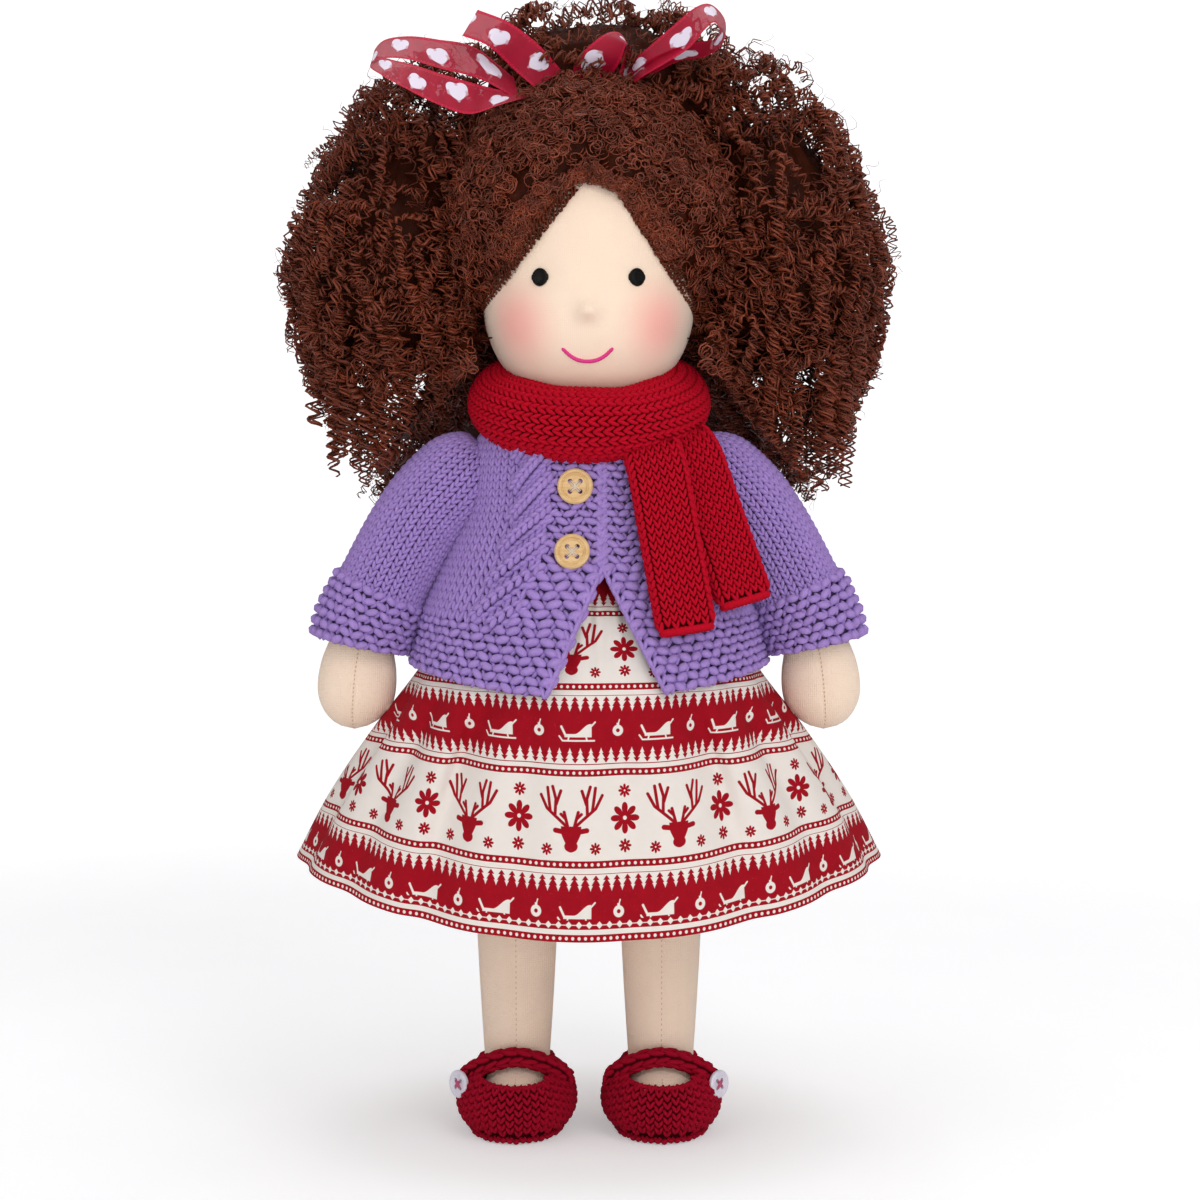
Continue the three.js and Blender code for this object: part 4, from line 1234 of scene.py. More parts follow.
    def ring(self, locks, point, direction, rng, size=1.0):
        """One curl of a turn or two that lies over a point."""
        axis = (direction + Vector((rng.gauss(0, 0.55), rng.gauss(0, 0.55), rng.gauss(0, 0.55)))).normalized()
        side = axis.orthogonal().normalized()
        up = axis.cross(side)
        radius = rng.uniform(1.2, 2.9) * size
        phase = rng.uniform(0, TURN)
        turns = rng.uniform(1.0, 1.9)
        rise = rng.uniform(0.5, 2.4)
        points = []
        for i in range(13):
            share = i / 12
            turn = phase + TURN * turns * share
            offset = (side * math.cos(turn) + up * math.sin(turn)) * radius * (1 - 0.35 * share)
            points.append(point + offset + axis * rise * share)
        locks.strand(points, rng.uniform(0.16, 0.36), 0.5)

    def fringe(self, material):
        """Twisted strands that part to each side along the hairline, with fine hairs among them."""
        rng = random.Random(31)
        locks = Locks()
        for side, keys in FRINGE.items():
            for n in range(self.fringe_strands):
                line = self.fringe_line(side, keys, 2.1 * n - 0.8, 1.0 + 0.4 * n)
                phase = rng.uniform(0, TURN)
                for strand in range(2):
                    locks.strand(corkscrew(line, 0.8, 3.6, phase + strand * math.pi, 7, 0.6), 0.5, 0.7)
            for _ in range(self.fringe_hairs):
                line = self.fringe_line(side, keys, rng.uniform(-1.2, 9.0), rng.uniform(0.8, 2.6))
                start = rng.randrange(0, 8)
                part = line[start:start + rng.randrange(3, 6)]
                curl, pitch, phase = rng.uniform(0.7, 1.7), rng.uniform(3, 5), rng.uniform(0, TURN)
                locks.strand(corkscrew(part, curl, pitch, phase, 7, 0.8), 0.16)
        locks.finish("hair_fringe", material)

    def fringe_line(self, side, keys, outward, lift):
        """A line over the skin beside the innermost strand, moved outward from the face."""
        line = []
        for i in range(13):
            x, z = smooth(keys, 3 * i / 12)
            x, z = x + side * outward * FRINGE_OUTWARD[0], z + outward * FRINGE_OUTWARD[1]
            depth = math.sqrt(max(smooth(HEAD, z)[0] ** 2 - x * x, 9))
            line.append(Vector((x, -depth - lift, z)))
        return line

    def wisps(self, material):
        """Fine stray hairs that soften the outline."""
        rng = random.Random(51)
        locks = Locks()
        forms = [puff_form(-1), puff_form(1), mass_form(*HAIR_CROWN)]
        for n in range(self.wisp_count):
            form = forms[n % 3]
            direction = Vector((rng.gauss(0, 1), rng.gauss(-0.2, 0.7), rng.gauss(0, 1))).normalized()
            start = form(direction, rng.uniform(0.9, 1.0))
            out = form(direction, 1.0 + rng.uniform(0.05, 0.16))
            line = [start.lerp(out, i / 5) for i in range(6)]
            curl, pitch, phase = rng.uniform(0.8, 2.6), rng.uniform(4, 9), rng.uniform(0, TURN)
            locks.strand(corkscrew(line, curl, pitch, phase, 9, 0.8), 0.1, 0.5)
        locks.finish("hair_wisps", material)


# Cardigan

CARDIGAN = [
    (164, 62, 51), (172, 60, 48.5), (183, 57.5, 43), (195, 52.3, 37.5), (207, 47, 34), (218, 42.3, 32),
    (230, 41, 30.5), (240, 39.5, 29), (247, 35.5, 27), (252, 29.5, 24), (255, 24.5, 21.5),
]
CARDIGAN_DIP = 8
CARDIGAN_DIP_START = 200
# Front edges: where they part, and how far each goes sideways per millimetre below that
EDGE_X = 4.6
EDGE_PART = 200
EDGE_SLOPES = (-0.53, 0.6)
# Where the sleeves and the scarf cover the body's stitches
ARMHOLE = 13.5
ARMHOLE_INNER = -12
NECKLINE = 251


def cardigan_point(angle, z, inward=0.0):
    """A point on the cardigan at an angle round the body, with the hem dipping in front."""
    width, depth = smooth(CARDIGAN, z)
    share = min(max((CARDIGAN_DIP_START - z) / (CARDIGAN_DIP_START - CARDIGAN[0][0]), 0), 1)
    drop = CARDIGAN_DIP * share * max(0, -math.sin(angle)) ** 2
    return Vector(((width - inward) * math.cos(angle), (depth - inward) * math.sin(angle), z - drop))


def edge_angle(z, slope):
    """The angle of a front edge at a height."""
    x = EDGE_X + slope * max(0, EDGE_PART - z)
    return -math.acos(min(max(x / smooth(CARDIGAN, z)[0], -1), 1))


def cardigan_places(inward=0.0):
    """place(u, v) for the right front, the left front and the back, as the doll wears it."""
    low, high = CARDIGAN[0][0], CARDIGAN[-1][0]

    def right(u, v):
        z = low + (high - low) * v
        return cardigan_point(-math.pi + (edge_angle(z, EDGE_SLOPES[0]) + math.pi) * u, z, inward)

    def left(u, v):
        z = low + (high - low) * v
        start = edge_angle(z, EDGE_SLOPES[1])
        return cardigan_point(start - start * u, z, inward)

    def back(u, v):
        return cardigan_point(math.pi * u, low + (high - low) * v, inward)

    return right, left, back


def outside_sleeves(spot):
    """Leaves out stitches that the sleeves or the scarf cover."""
    for sign in (-1, 1):
        away = spot.origin - Vector((sign * SHOULDER.x, 0, SHOULDER.z))
        if math.hypot(away.y, away.z) < ARMHOLE and sign * away.x > ARMHOLE_INNER:
            return False
    return spot.origin.z < NECKLINE


def join(pieces):
    """One bmesh from several."""
    whole = bmesh.new()
    for bm in pieces:
        mesh = bpy.data.meshes.new("part")
        bm.to_mesh(mesh)
        bm.free()
        whole.from_mesh(mesh)
        bpy.data.meshes.remove(mesh)
    return whole


class DOLL_OT_cardigan(bpy.types.Operator):
    """Knit the cardigan: fronts with cables and garter borders, the back and the sleeves"""

    bl_idname = "doll.cardigan"
    bl_label = "Cardigan"

    # Shares of a front: the height of its hem, and where its band and its cable end
    hem = 0.2
    band = 0.25
    cable = 0.45
    rope_turns, rope_steps, rope_slope = 7, 9, 1.55

    def execute(self, context):
        yarn = yarn_material("lilac_yarn", colours().cardigan)
        # Painted shade: the cloth under the stitches is the lilac yarn darkened.
        ground = shade_ground_material("lilac_shade_ground", colours().cardigan, 0.34)
        cloth = join([surface(40, 40, place, closed=False) for place in cardigan_places(1.1)])
        body = finish_piece(cloth, "cardigan_cloth", ground, "torso", ["cardigan_body"])
        right, left, back = cardigan_places()
        pieces = [
            self.front("right", right, True, yarn),
            self.front("left", left, False, yarn),
            self.back(back, yarn),
        ]
        for word, sign in SIDES:
            self.sleeve(word, sign, yarn, ground)
        return {"FINISHED"}

    def front(self, word, place, flipped, yarn):
        """One front: knitted columns at the side, then a cable, then a garter band along its edge."""
        rng = random.Random(61)
        stitches = Stitches()

        def span(low, high):
            return (1 - high, 1 - low) if flipped else (low, high)

        purl(stitches, place, 4, 28, rng, span(0, self.band + 0.02), (self.hem, 1), outside_sleeves)
        purl(stitches, place, 16, 7, rng, (0, 1), (0, self.hem), outside_sleeves)
        stockinette(stitches, place, 11, 27, span(self.cable, 1), (self.hem, 1), outside_sleeves)
        stockinette(stitches, place, 1, 36, span(-0.02, 0.03), (0, 1), outside_sleeves)
        stockinette(stitches, place, 4, 27, span(self.band, self.cable), (self.hem, 1), outside_sleeves)
        self.rope(stitches, place, span(self.band, self.cable))
        return stitches.finish(f"cardigan_front_{word}", yarn, "torso", "lilac_knit")

    def rope(self, stitches, place, span):
        """A rope cable: plump strands of two knitted columns that cross over one another."""
        v_step = (1 - self.hem) / self.rope_turns
        for turn in range(-1, self.rope_turns):
            for n in range(self.rope_steps):
                share = (n + 0.5) / self.rope_steps
                u = span[0] + (span[1] - span[0]) * share
                v = self.hem + v_step * (turn + 0.1 + self.rope_slope * share)
                if not self.hem < v < 1:
                    continue
                spot = spot_at(place, u, v)
                if outside_sleeves(spot):
                    self.strand(stitches, spot, span, v_step, share)

    def strand(self, stitches, spot, span, v_step, share):
        """One step of a cable strand: two V stitches side by side over a ridge."""
        across = spot.across.length * (span[1] - span[0])
        along = spot.along.length * v_step * self.rope_slope
        lean = math.atan2(across, along)
        ridge = 0.3 + 0.7 * math.sin(math.pi * share)
        for line in (-1.5, -0.5, 0.5, 1.5):
            sideways = line * 1.75
            shifted = Spot(spot.origin + spot.along.normalized() * -sideways * math.sin(lean), *spot[1:])
            lift = 0.5 + (3.3 if abs(line) < 1 else 1.2) * ridge
            open_v = 0.34 if line in (-0.5, 1.5) else -0.34
            stitches.lobe(lobe_matrix(shifted, lean + open_v, 2.1, 4.2, 2.8, sideways * math.cos(lean), lift))

    def back(self, place, yarn):
        """The plain back with its garter hem."""
        rng = random.Random(62)
        stitches = Stitches()
        purl(stitches, place, 36, 7, rng, (0, 1), (0, self.hem), outside_sleeves)
        stockinette(stitches, place, 44, 27, (0, 1), (self.hem, 1), outside_sleeves)
        return stitches.finish("cardigan_back", yarn, "torso", "lilac_knit")

    def sleeve(self, word, sign, yarn, ground):
        """A sleeve of lengthwise columns with a garter cuff."""
        rng = random.Random(63)
        inner = [(distance, radius - 1.1) for distance, radius in SLEEVE[1:] + CUFF[1:]]
        cloth = surface(40, 44, limb_place(inner, sign, inner[0][0], inner[-1][0]))
        body = f"arm_{word}"
        sheet = finish_piece(cloth, f"sleeve_cloth_{word}", ground, body, [f"sleeve_{word}"])
        stitches = Stitches()
        columns = round(TURN * SLEEVE[4][1] / size_of("knit"))
        place = limb_place(SLEEVE, sign, SLEEVE[0][0], SLEEVE[-1][0])
        stockinette(stitches, place, columns, 25, (0, 1), (0, 0.97))
        purl(stitches, limb_place(CUFF, sign, CUFF[0][0], CUFF[-1][0]), 24, 7, rng)
        knit = stitches.finish(f"sleeve_knit_{word}", yarn, body, "lilac_knit")


# Scarf


def strip_section(share, width, thickness):
    """The point at a share of the way round a strip with rounded edges, from the middle of its front."""
    radius = thickness / 2
    straight = width - thickness
    bend = math.pi * radius
    along = (share % 1) * 2 * (straight + bend) - straight / 2
    if along < 0:
        return along + straight / 2, -radius
    half, along = divmod(along, straight + bend)
    sign = 1 if half % 2 == 0 else -1
    if along < bend:
        angle = along / radius - math.pi / 2
        return sign * (straight / 2 + radius * math.cos(angle)), sign * radius * math.sin(angle)
    return sign * (straight / 2 - along + bend), sign * radius


class DOLL_OT_scarf(bpy.types.Operator):
    """Knit the scarf: the loop round the neck and its two hanging ends"""

    bl_idname = "doll.scarf"
    bl_label = "Scarf"

    radius = 28.8
    tube = 12.4
    stretch = 0.9
    # Share of the way round the loop that the strip covers: its long edges turn in against the neck
    open_share = 0.72
    height = 256
    tilt = math.radians(18)
    lean = math.radians(-10)
    close_knit = {"stagger": 0.5, "open_v": 0.5, "overlap": 1.2}
    edge_stitches = 26
    # Hanging ends: (name, width, length, top, slant and turn in degrees)
    tails = (
        ("front", 18.5, 65, Vector((22, -34.8, 241)), 10, 10),
        ("rear", 18.5, 62, Vector((33.5, -24, 245)), 19, 20),
    )

    def execute(self, context):
        yarn = yarn_material("scarf_yarn", colours().scarf, 0.62)
        # Painted shade: the cloth under the stitches is the red yarn darkened.
        ground = shade_ground_material("scarf_shade_ground", colours().scarf, 0.12)
        self.loop(yarn, ground)
        for tail in self.tails:
            self.tail(yarn, ground, *tail)
        return {"FINISHED"}

    def loop_place(self, tube):
        """place(u, v) on the loop, with u round its tube and v along it from the back."""
        turn = Matrix.Rotation(self.tilt, 3, "X")

        def place(u, v):
            round_tube = -TURN * u
            angle = TURN * (v + 0.25)
            out = self.radius + tube * math.cos(round_tube)
            soft = 1 + 0.03 * math.sin(3 * angle + 1.0) + 0.02 * math.sin(7 * angle)
            z = tube * self.stretch * soft * math.sin(round_tube)
            point = Vector((out * math.cos(angle), out * math.sin(angle), z))
            return turn @ point + Vector((0, 0, self.height))

        return place

    def loop(self, yarn, ground):
        """The loop, whose stitches run along its length."""
        tube = self.loop_place(self.tube - 0.9)
        cloth = surface(40, 96, lambda u, v: tube(self.open_share * (u - 0.5), v), closed=False)
        bmesh.ops.remove_doubles(cloth, verts=cloth.verts, dist=0.001)
        sheet = finish_piece(cloth, "scarf_cloth", ground, "torso", ["scarf_loop"])
        stitches = Stitches()

        def shown(spot):
            away = Vector((spot.origin.x, spot.origin.y, 0)).normalized()
            return spot.normal.dot(away) > -0.55

        stockinette(stitches, self.loop_place(self.tube), 22, 76, keep=shown, **self.close_knit)
        knit = stitches.finish("scarf_knit", yarn, "torso", "scarf_knit")

    def tail_place(self, width, length, thickness, top, slant, turn):
        """place(u, v) round a hanging end, with v from its lower end to its top."""
        spin = Matrix.Rotation(math.radians(-slant), 3, "Y") @ Matrix.Rotation(self.lean, 3, "X")
        spin = spin @ Matrix.Rotation(math.radians(turn), 3, "Z")

        def place(u, v):
            end = 1 - 0.16 * math.exp(-v * length / 1.4)
            wave = 0.9 * math.sin(2.4 * v + 0.4)
            x, y = strip_section(u, width * end, thickness)
            tuck = 5.5 * max(0, (v - 0.8) / 0.2) ** 2
            return spin @ Vector((x, y + wave + tuck, -length * (1 - v))) + top

        return place

    def tail(self, yarn, ground, word, width, length, top, slant, turn):
        """One hanging end, knitted on both sides."""
        inner = self.tail_place(width - 1.8, length, 2.2, top, slant, turn)
        body = "scarf_tails"
        cloth = surface(32, 40, inner)
        bmesh.ops.holes_fill(cloth, edges=[edge for edge in cloth.edges if edge.is_boundary])
        name = f"scarf_tail_cloth_{word}"
        sheet = finish_piece(cloth, name, ground, body, [f"scarf_tail_{word}"])
        stitches = Stitches()
        place = self.tail_place(width, length, 4.0, top, slant, turn)
        stockinette(stitches, place, 16, round(length / 3.0), v_range=(0.02, 1), **self.close_knit)
        for n in range(self.edge_stitches):
            spot = spot_at(place, (n + 0.5) / self.edge_stitches, 0.012)
            stitches.lobe(lobe_matrix(spot, math.pi / 2, 2.8, 3.4, 2.6))
        knit = stitches.finish(f"scarf_tail_knit_{word}", yarn, body, "scarf_knit")
        width * MM
        length * MM


# Skirt

SKIRT = [
    (97, 103, 85), (118, 92, 72), (141, 76.5, 58), (162, 60.3, 46.5), (180, 49, 38), (192, 41, 30.5),
    (200, 35.4, 24.4),
]
SKIRT_FLAT = (590, 125)
SKIRT_DROP = 16
# Folds: (degrees from the middle of the front, depth, how far the fold leans under its neighbour)
SKIRT_FOLDS = [
    (-30, 5.5, -1.3), (-15, 2.5, -0.4), (7.5, 2.5, 0.4), (30, 5, 1.1), (52.5, 3.5, 0.5), (75, 3.5, -0.5),
    (105, 4, 0.8), (135, 4.5, -0.8), (165, 4, 0.6), (-157.5, 3.5, -0.6), (-135, 4.5, 0.8), (-105, 4, -0.8),
    (-75, 3.5, 0.5), (-52.5, 3.5, -0.5),
]
FOLD_SPREAD = 3.8
FOLD_TOP = 165
FOLD_FULL = 140
FOLD_HEM_SHARE = 0.5
FOLD_CRISP = 1.3
GATHERS = 46
GATHER_DEPTH = 2.2
GATHER_LOW = 160
SKIRT_COLUMNS, SKIRT_ROWS = 520, 64
# Print: the height where its repeat starts, the repeat itself, and the spacing of each motif along the cloth
PRINT_START, PRINT_REPEAT = 23.8, 54.7
DOT_SPACING, STAR_SPACING, PINE_SPACING, SLEIGH_SPACING, DEER_SPACING = 2.05, 3.3, 3.5, 27, 36
HEM_PRINT = 6.4


def share_between(value, start, end):
    """How far a value has gone from one to the other, from 0 to 1."""
    return min(max((value - start) / (end - start), 0), 1)


def fold_at(turn, z):
    """The depth of the skirt's folds at a turn from the front, and how far they lean sideways."""
    strength = share_between(z, FOLD_TOP, FOLD_FULL)
    strength *= 1 - (1 - FOLD_HEM_SHARE) * share_between(z, FOLD_FULL, SKIRT[0][0])
    depth = lean = 0.0
    for place, amount, sideways in SKIRT_FOLDS:
        away = (math.degrees(turn) - place + 180) % 360 - 180
        part = strength * amount * math.exp(-0.5 * (away / FOLD_SPREAD) ** 2)
        depth += part
        lean += part * sideways
    depth, lean = depth * FOLD_CRISP, lean * FOLD_CRISP
    gather = GATHER_DEPTH * share_between(z, GATHER_LOW, SKIRT[-1][0])
    uneven = 1.1 * math.sin(3 * turn + 1) + 0.8 * math.sin(5 * turn)
    return depth + gather * (0.5 + 0.5 * math.sin(GATHERS * turn + uneven)), lean


def skirt_point(turn, z):
    """A point of the skirt at a turn from the front."""
    width, depth = smooth(SKIRT, z)
    fold, lean = fold_at(turn, z)
    angle = turn - TURN / 4 + lean / width
    drop = SKIRT_DROP * share_between(z, FOLD_TOP, SKIRT[0][0]) * math.sin(angle) ** 2
    return Vector(((width - fold) * math.cos(angle), (depth - fold) * math.sin(angle), z - drop))


class SkirtCloth:
    """The gathered skirt from the hem to the waist, laid out along its cloth from the back."""

    samples = 900
    low, high = SKIRT[0][0], SKIRT[-1][0]

    def __init__(self):
        self.turns = [TURN * (i / self.samples - 0.5) for i in range(self.samples + 1)]
        self.rows = {}

    def marks(self, v):
        """How far along the cloth each turn is at a share of the height."""
        z = self.low + (self.high - self.low) * v
        if z not in self.rows:
            self.rows[z] = lengths_along([skirt_point(turn, z) for turn in self.turns])
        return self.rows[z]

    def place(self, u, v):
        """The point at shares along and up the cloth."""
        marks = self.marks(v)
        target = u * marks[-1]
        i = min(max(bisect(marks, target) - 1, 0), self.samples - 1)
        share = (target - marks[i]) / (marks[i + 1] - marks[i])
        turn = self.turns[i] + (self.turns[i + 1] - self.turns[i]) * share
        return skirt_point(turn, self.low + (self.high - self.low) * v)

    def lay_print(self, bm):
        """Gives the UV the cloth's own lengths in millimetres, from the middle of the front or back panel."""
        layer = bm.loops.layers.uv.active
        for face in bm.faces:
            middle = sum(loop[layer].uv.x for loop in face.loops) / len(face.loops)
            panel = 0 if middle < 0.25 else 1 if middle > 0.75 else 0.5
            for loop in face.loops:
                u, v = loop[layer].uv
                marks = self.marks(round(v * SKIRT_ROWS) / SKIRT_ROWS)
                along = u * marks[-1] - marks[round(panel * self.samples)]
                loop[layer].uv = (SKIRT_FLAT[0] / 2 + along, v * SKIRT_FLAT[1])
        return bm


def segment(x, y, start, end):
    """Distance from a flat point of fields to a straight stroke."""
    dx, dy = end[0] - start[0], end[1] - start[1]
    along = ((x - start[0]) * dx + (y - start[1]) * dy) / (dx * dx + dy * dy)
    share = along.high(0).low(1)
    return length_of(x - start[0] - share * dx, y - start[1] - share * dy)


def inked(distance, width):
    """1 inside a stroke or shape and 0 outside it."""
    return distance.step(width + 0.09, width - 0.09)


def pine(x, y, height, half):
    """A pine tree of three tiers that stands on y = 0."""
    tier = (y * (3 / height)).repeat(1.0)
    envelope = (1 - y / height) * (half * 0.55) + (1 - tier) * (half * 0.5) * (1.15 - y / height)
    return inked(abs(x) - envelope, 0.0) * y.within(0, height)


def sleigh(x, y):
    """A curled sleigh on runners."""
    runner = segment(x, y, (-5.2, 0.2), (5.4, 0.2)).low(segment(x, y, (-5.2, 0.2), (-6.3, 1.6)))
    posts = segment(x, y, (-3.4, 0.2), (-3.0, 1.6)).low(segment(x, y, (3.0, 0.2), (2.6, 1.6)))
    lines = inked(runner.low(posts).low(segment(x, y, (4.3, 4.6), (5.7, 6.0))), 0.26)
    top = 2.3 + 3.1 * x.step(-1.2, 4.0)
    hull = inked((y - top).high(1.3 - y).high(abs(x) - 4.5), 0.0)
    prow = inked(segment(x, y, (-4.2, 1.9), (-5.6, 4.6)), 0.36)
    return lines.high(hull).high(prow)


def bauble(x, y):
    """A round bauble on a thread."""
    ball = inked(length_of(x, y), 1.75) - inked(length_of(x, y), 0.62)
    thread = inked(segment(x, y, (0, 1.8), (0.5, 3.4)), 0.2)
    return ball.high(thread).high(inked(abs(x).high(abs(y - 1.95)), 0.42))


def deer(x, y):
    """A deer's head from the front, with branching antlers."""
    side = abs(x)
    muzzle = inked(segment(side, y, (0, -8.7), (0.4, -8.5)), 1.5)
    face = inked((side - 0.95 - y.step(-9.2, -4.0) * 1.65).high(y + 3.0).high(-8.9 - y), 0.3).high(muzzle)
    ear = inked(segment(side, y, (2.2, -4.3), (4.4, -3.9)), 0.75)
    strokes = [
        ((1.0, -3.0), (3.6, -0.6)), ((3.6, -0.6), (7.0, 2.4)), ((7.0, 2.4), (8.9, 6.2)),
        ((4.6, 0.4), (4.4, 5.2)), ((4.4, 5.2), (5.4, 8.8)), ((6.0, 1.6), (6.9, 8.4)),
        ((4.3, 3.6), (3.0, 7.6)), ((0.9, -3.0), (2.0, 1.4)), ((1.5, -0.6), (2.9, 0.8)),
    ]
    antler = segment(side, y, *strokes[0])
    for stroke in strokes[1:]:
        antler = antler.low(segment(side, y, *stroke))
    return face.high(ear).high(inked(antler, 0.46))


def snowflake(x, y, radius):
    """A flower-like snowflake with eight petals."""
    angle = x.maths("ARCTAN2", y, x)
    petal = abs((angle * 4).maths("COSINE", angle * 4)) ** 0.7
    reach = radius * (0.4 + 0.6 * petal)
    return inked(length_of(x, y) - reach, 0.0) - inked(length_of(x, y), radius * 0.13)


def print_ink(u, v):
    """Where the skirt's cotton is printed red: bands of deer, sleighs and pines between dotted stripes."""
    band = (v - PRINT_START).repeat(PRINT_REPEAT)

    def cell(period, shift):
        return (u + shift).repeat(period) - period / 2

    def dots(height):
        return inked(length_of(cell(DOT_SPACING, 0), height), 0.5)

    dotted = dots(band - 26.6).high(dots(band - 53.6))
    stripe = (band.within(25.5, 27.7) + band.within(52.5, PRINT_REPEAT)) * (1 - dotted)
    flakes = snowflake(cell(DEER_SPACING, 34.7), band - 12.5, 4.8)
    for shift, height, size in ((34.7, 20.8, 2.1), (34.7, 4.2, 2.1), (24.7, 3.4, 1.9), (8.7, 3.6, 1.9)):
        flakes = flakes.high(snowflake(cell(DEER_SPACING, shift), band - height, size))
    cream = band.within(0, 25.5) * deer(cell(DEER_SPACING, 16.7) / 1.16, (band - 13.2) / 1.04).high(flakes)
    white = pine(cell(PINE_SPACING, 0), band - 29.4, 5.0, 1.75)
    white = white.high(pine(cell(PINE_SPACING, 0), 50.7 - band, 5.0, 1.75))
    white = white.high(sleigh(cell(SLEIGH_SPACING, 19), band - 36.4))
    white = white.high(bauble(cell(SLEIGH_SPACING, 5.5), band - 39.6))
    red = band.within(29.1, 50.9) * (1 - white)
    stars = inked(abs(cell(STAR_SPACING, 0)) + abs(v - 5.0), 1.05).high(inked(abs(v - 5.0), 0.12))
    hem = v.within(-5, 2.2) * (1 - dots(v - 1.1)) + v.within(3.7, HEM_PRINT) * (1 - stars)
    lower = v.maths("LESS_THAN", v, HEM_PRINT)
    return (stripe + cream + red) * (1 - lower) + hem * lower


class DOLL_OT_skirt(bpy.types.Operator):
    """Sew the dress: the gathered printed skirt and the bodice under the cardigan"""

    bl_idname = "doll.skirt"
    bl_label = "Dress"

    def execute(self, context):
        cotton = self.cotton()
        cloth = SkirtCloth()
        bm = cloth.lay_print(surface(SKIRT_COLUMNS, SKIRT_ROWS, cloth.place))
        skirt = finish_piece(bm, "skirt_cloth", cotton, "torso", ["skirt"])
        rings = [(z, width + 1.2, depth + 1.2) for z, width, depth in TORSO[1:-1]]
        bodice = scale_flat(surface(64, 30, ring_place(rings, 200.5, 246.5)), 205, 46)
        piece = finish_piece(bodice, "bodice_cloth", cotton, "torso", ["dress_bodice"])
        return {"FINISHED"}

    def cotton(self):
        """Plain-woven cotton with the print, slightly uneven in its ink."""
        finish = Finish("printed_cotton", {"Roughness": 0.88, "Specular IOR Level": 0.15})
        u, v = finish.flat()
        points = finish.points()
        worn = points.noise(1.2, 3.0) * 0.2 + 0.93
        ink, ground = colours().skirt, colours().cream
        red = points.noise(0.3).between(toned(ink, 0.72), ink)
        cream = points.noise(0.2).between(toned(ground, 0.93), ground)
        colour = (print_ink(u, v) * worn.low(1)).between(cream, red)
        weave = (u * 16.0).wave() * (v * 16.0).wave()
        return finish.paint(Base_Color=colour, Normal=finish.bump(weave + points.noise(1.5), 0.05))


# Ribbon

# The picture: millimetres in one of its 1200 parts at the doll's middle, and the part straight ahead
PART_MM = 0.352
PICTURE_AHEAD = (600, 476.1)
# Each strip as pairs of edge points: (across, down, depth), the first two in the picture's 1200 parts
RIBBON_STRIPS = {
    "loop_right": [
        ((515, 82, -4), (520, 106, -8)), ((476, 52, -14), (482, 84, -18)), ((438, 44, -20), (442, 74, -24)),
        ((410, 41, -22), (412, 66, -27)), ((386, 45, -22), (386, 64, -30)), ((376, 58, -26), (373, 72, -34)),
        ((390, 63, -33), (385, 82, -38)), ((415, 69, -35), (408, 94, -40)), ((440, 77, -34), (438, 108, -39)),
        ((474, 87, -28), (470, 118, -33)), ((506, 95, -14), (500, 112, -18)),
        ((530, 100, -6), (530, 106, -6)),
    ],
    "tail_right": [
        ((563, 76, -4), (535, 92, -8)), ((541, 51, -10), (515, 74, -14)), ((511, 28, -16), (490, 52, -20)),
        ((479, 15, -18), (464, 42, -22)),
    ],
    "loop_top": [
        ((572, 80, -4), (606, 92, -8)), ((576, 66, -8), (610, 80, -13)), ((590, 50, -12), (620, 66, -16)),
        ((607, 38, -12), (626, 52, -16)), ((620, 38, -8), (629, 56, -10)), ((628, 50, -4), (624, 62, -5)),
        ((632, 64, 0), (622, 72, 0)), ((630, 84, 0), (618, 86, 0)),
    ],
    "loop_left": [
        ((626, 76, -4), (634, 90, -8)), ((634, 64, -10), (644, 82, -15)), ((650, 50, -16), (664, 70, -21)),
        ((672, 31, -20), (688, 54, -25)), ((694, 13, -20), (703, 37, -25)), ((710, 10, -18), (712, 31, -22)),
        ((724, 26, -14), (717, 40, -16)), ((721, 49, -12), (712, 50, -13)), ((704, 61, -13), (700, 52, -14)),
        ((680, 65, -14), (676, 58, -15)), ((655, 77, -10), (652, 68, -11)), ((632, 88, -4), (632, 82, -5)),
    ],
}


def picture_point(across, down, depth):
    """The place in millimetres that the camera sees at a part of the picture, at that depth."""
    x, y, z = CAMERA
    scale = (depth - y) / -y * PART_MM
    return Vector((x + (across - PICTURE_AHEAD[0]) * scale, depth, z + (PICTURE_AHEAD[1] - down) * scale))


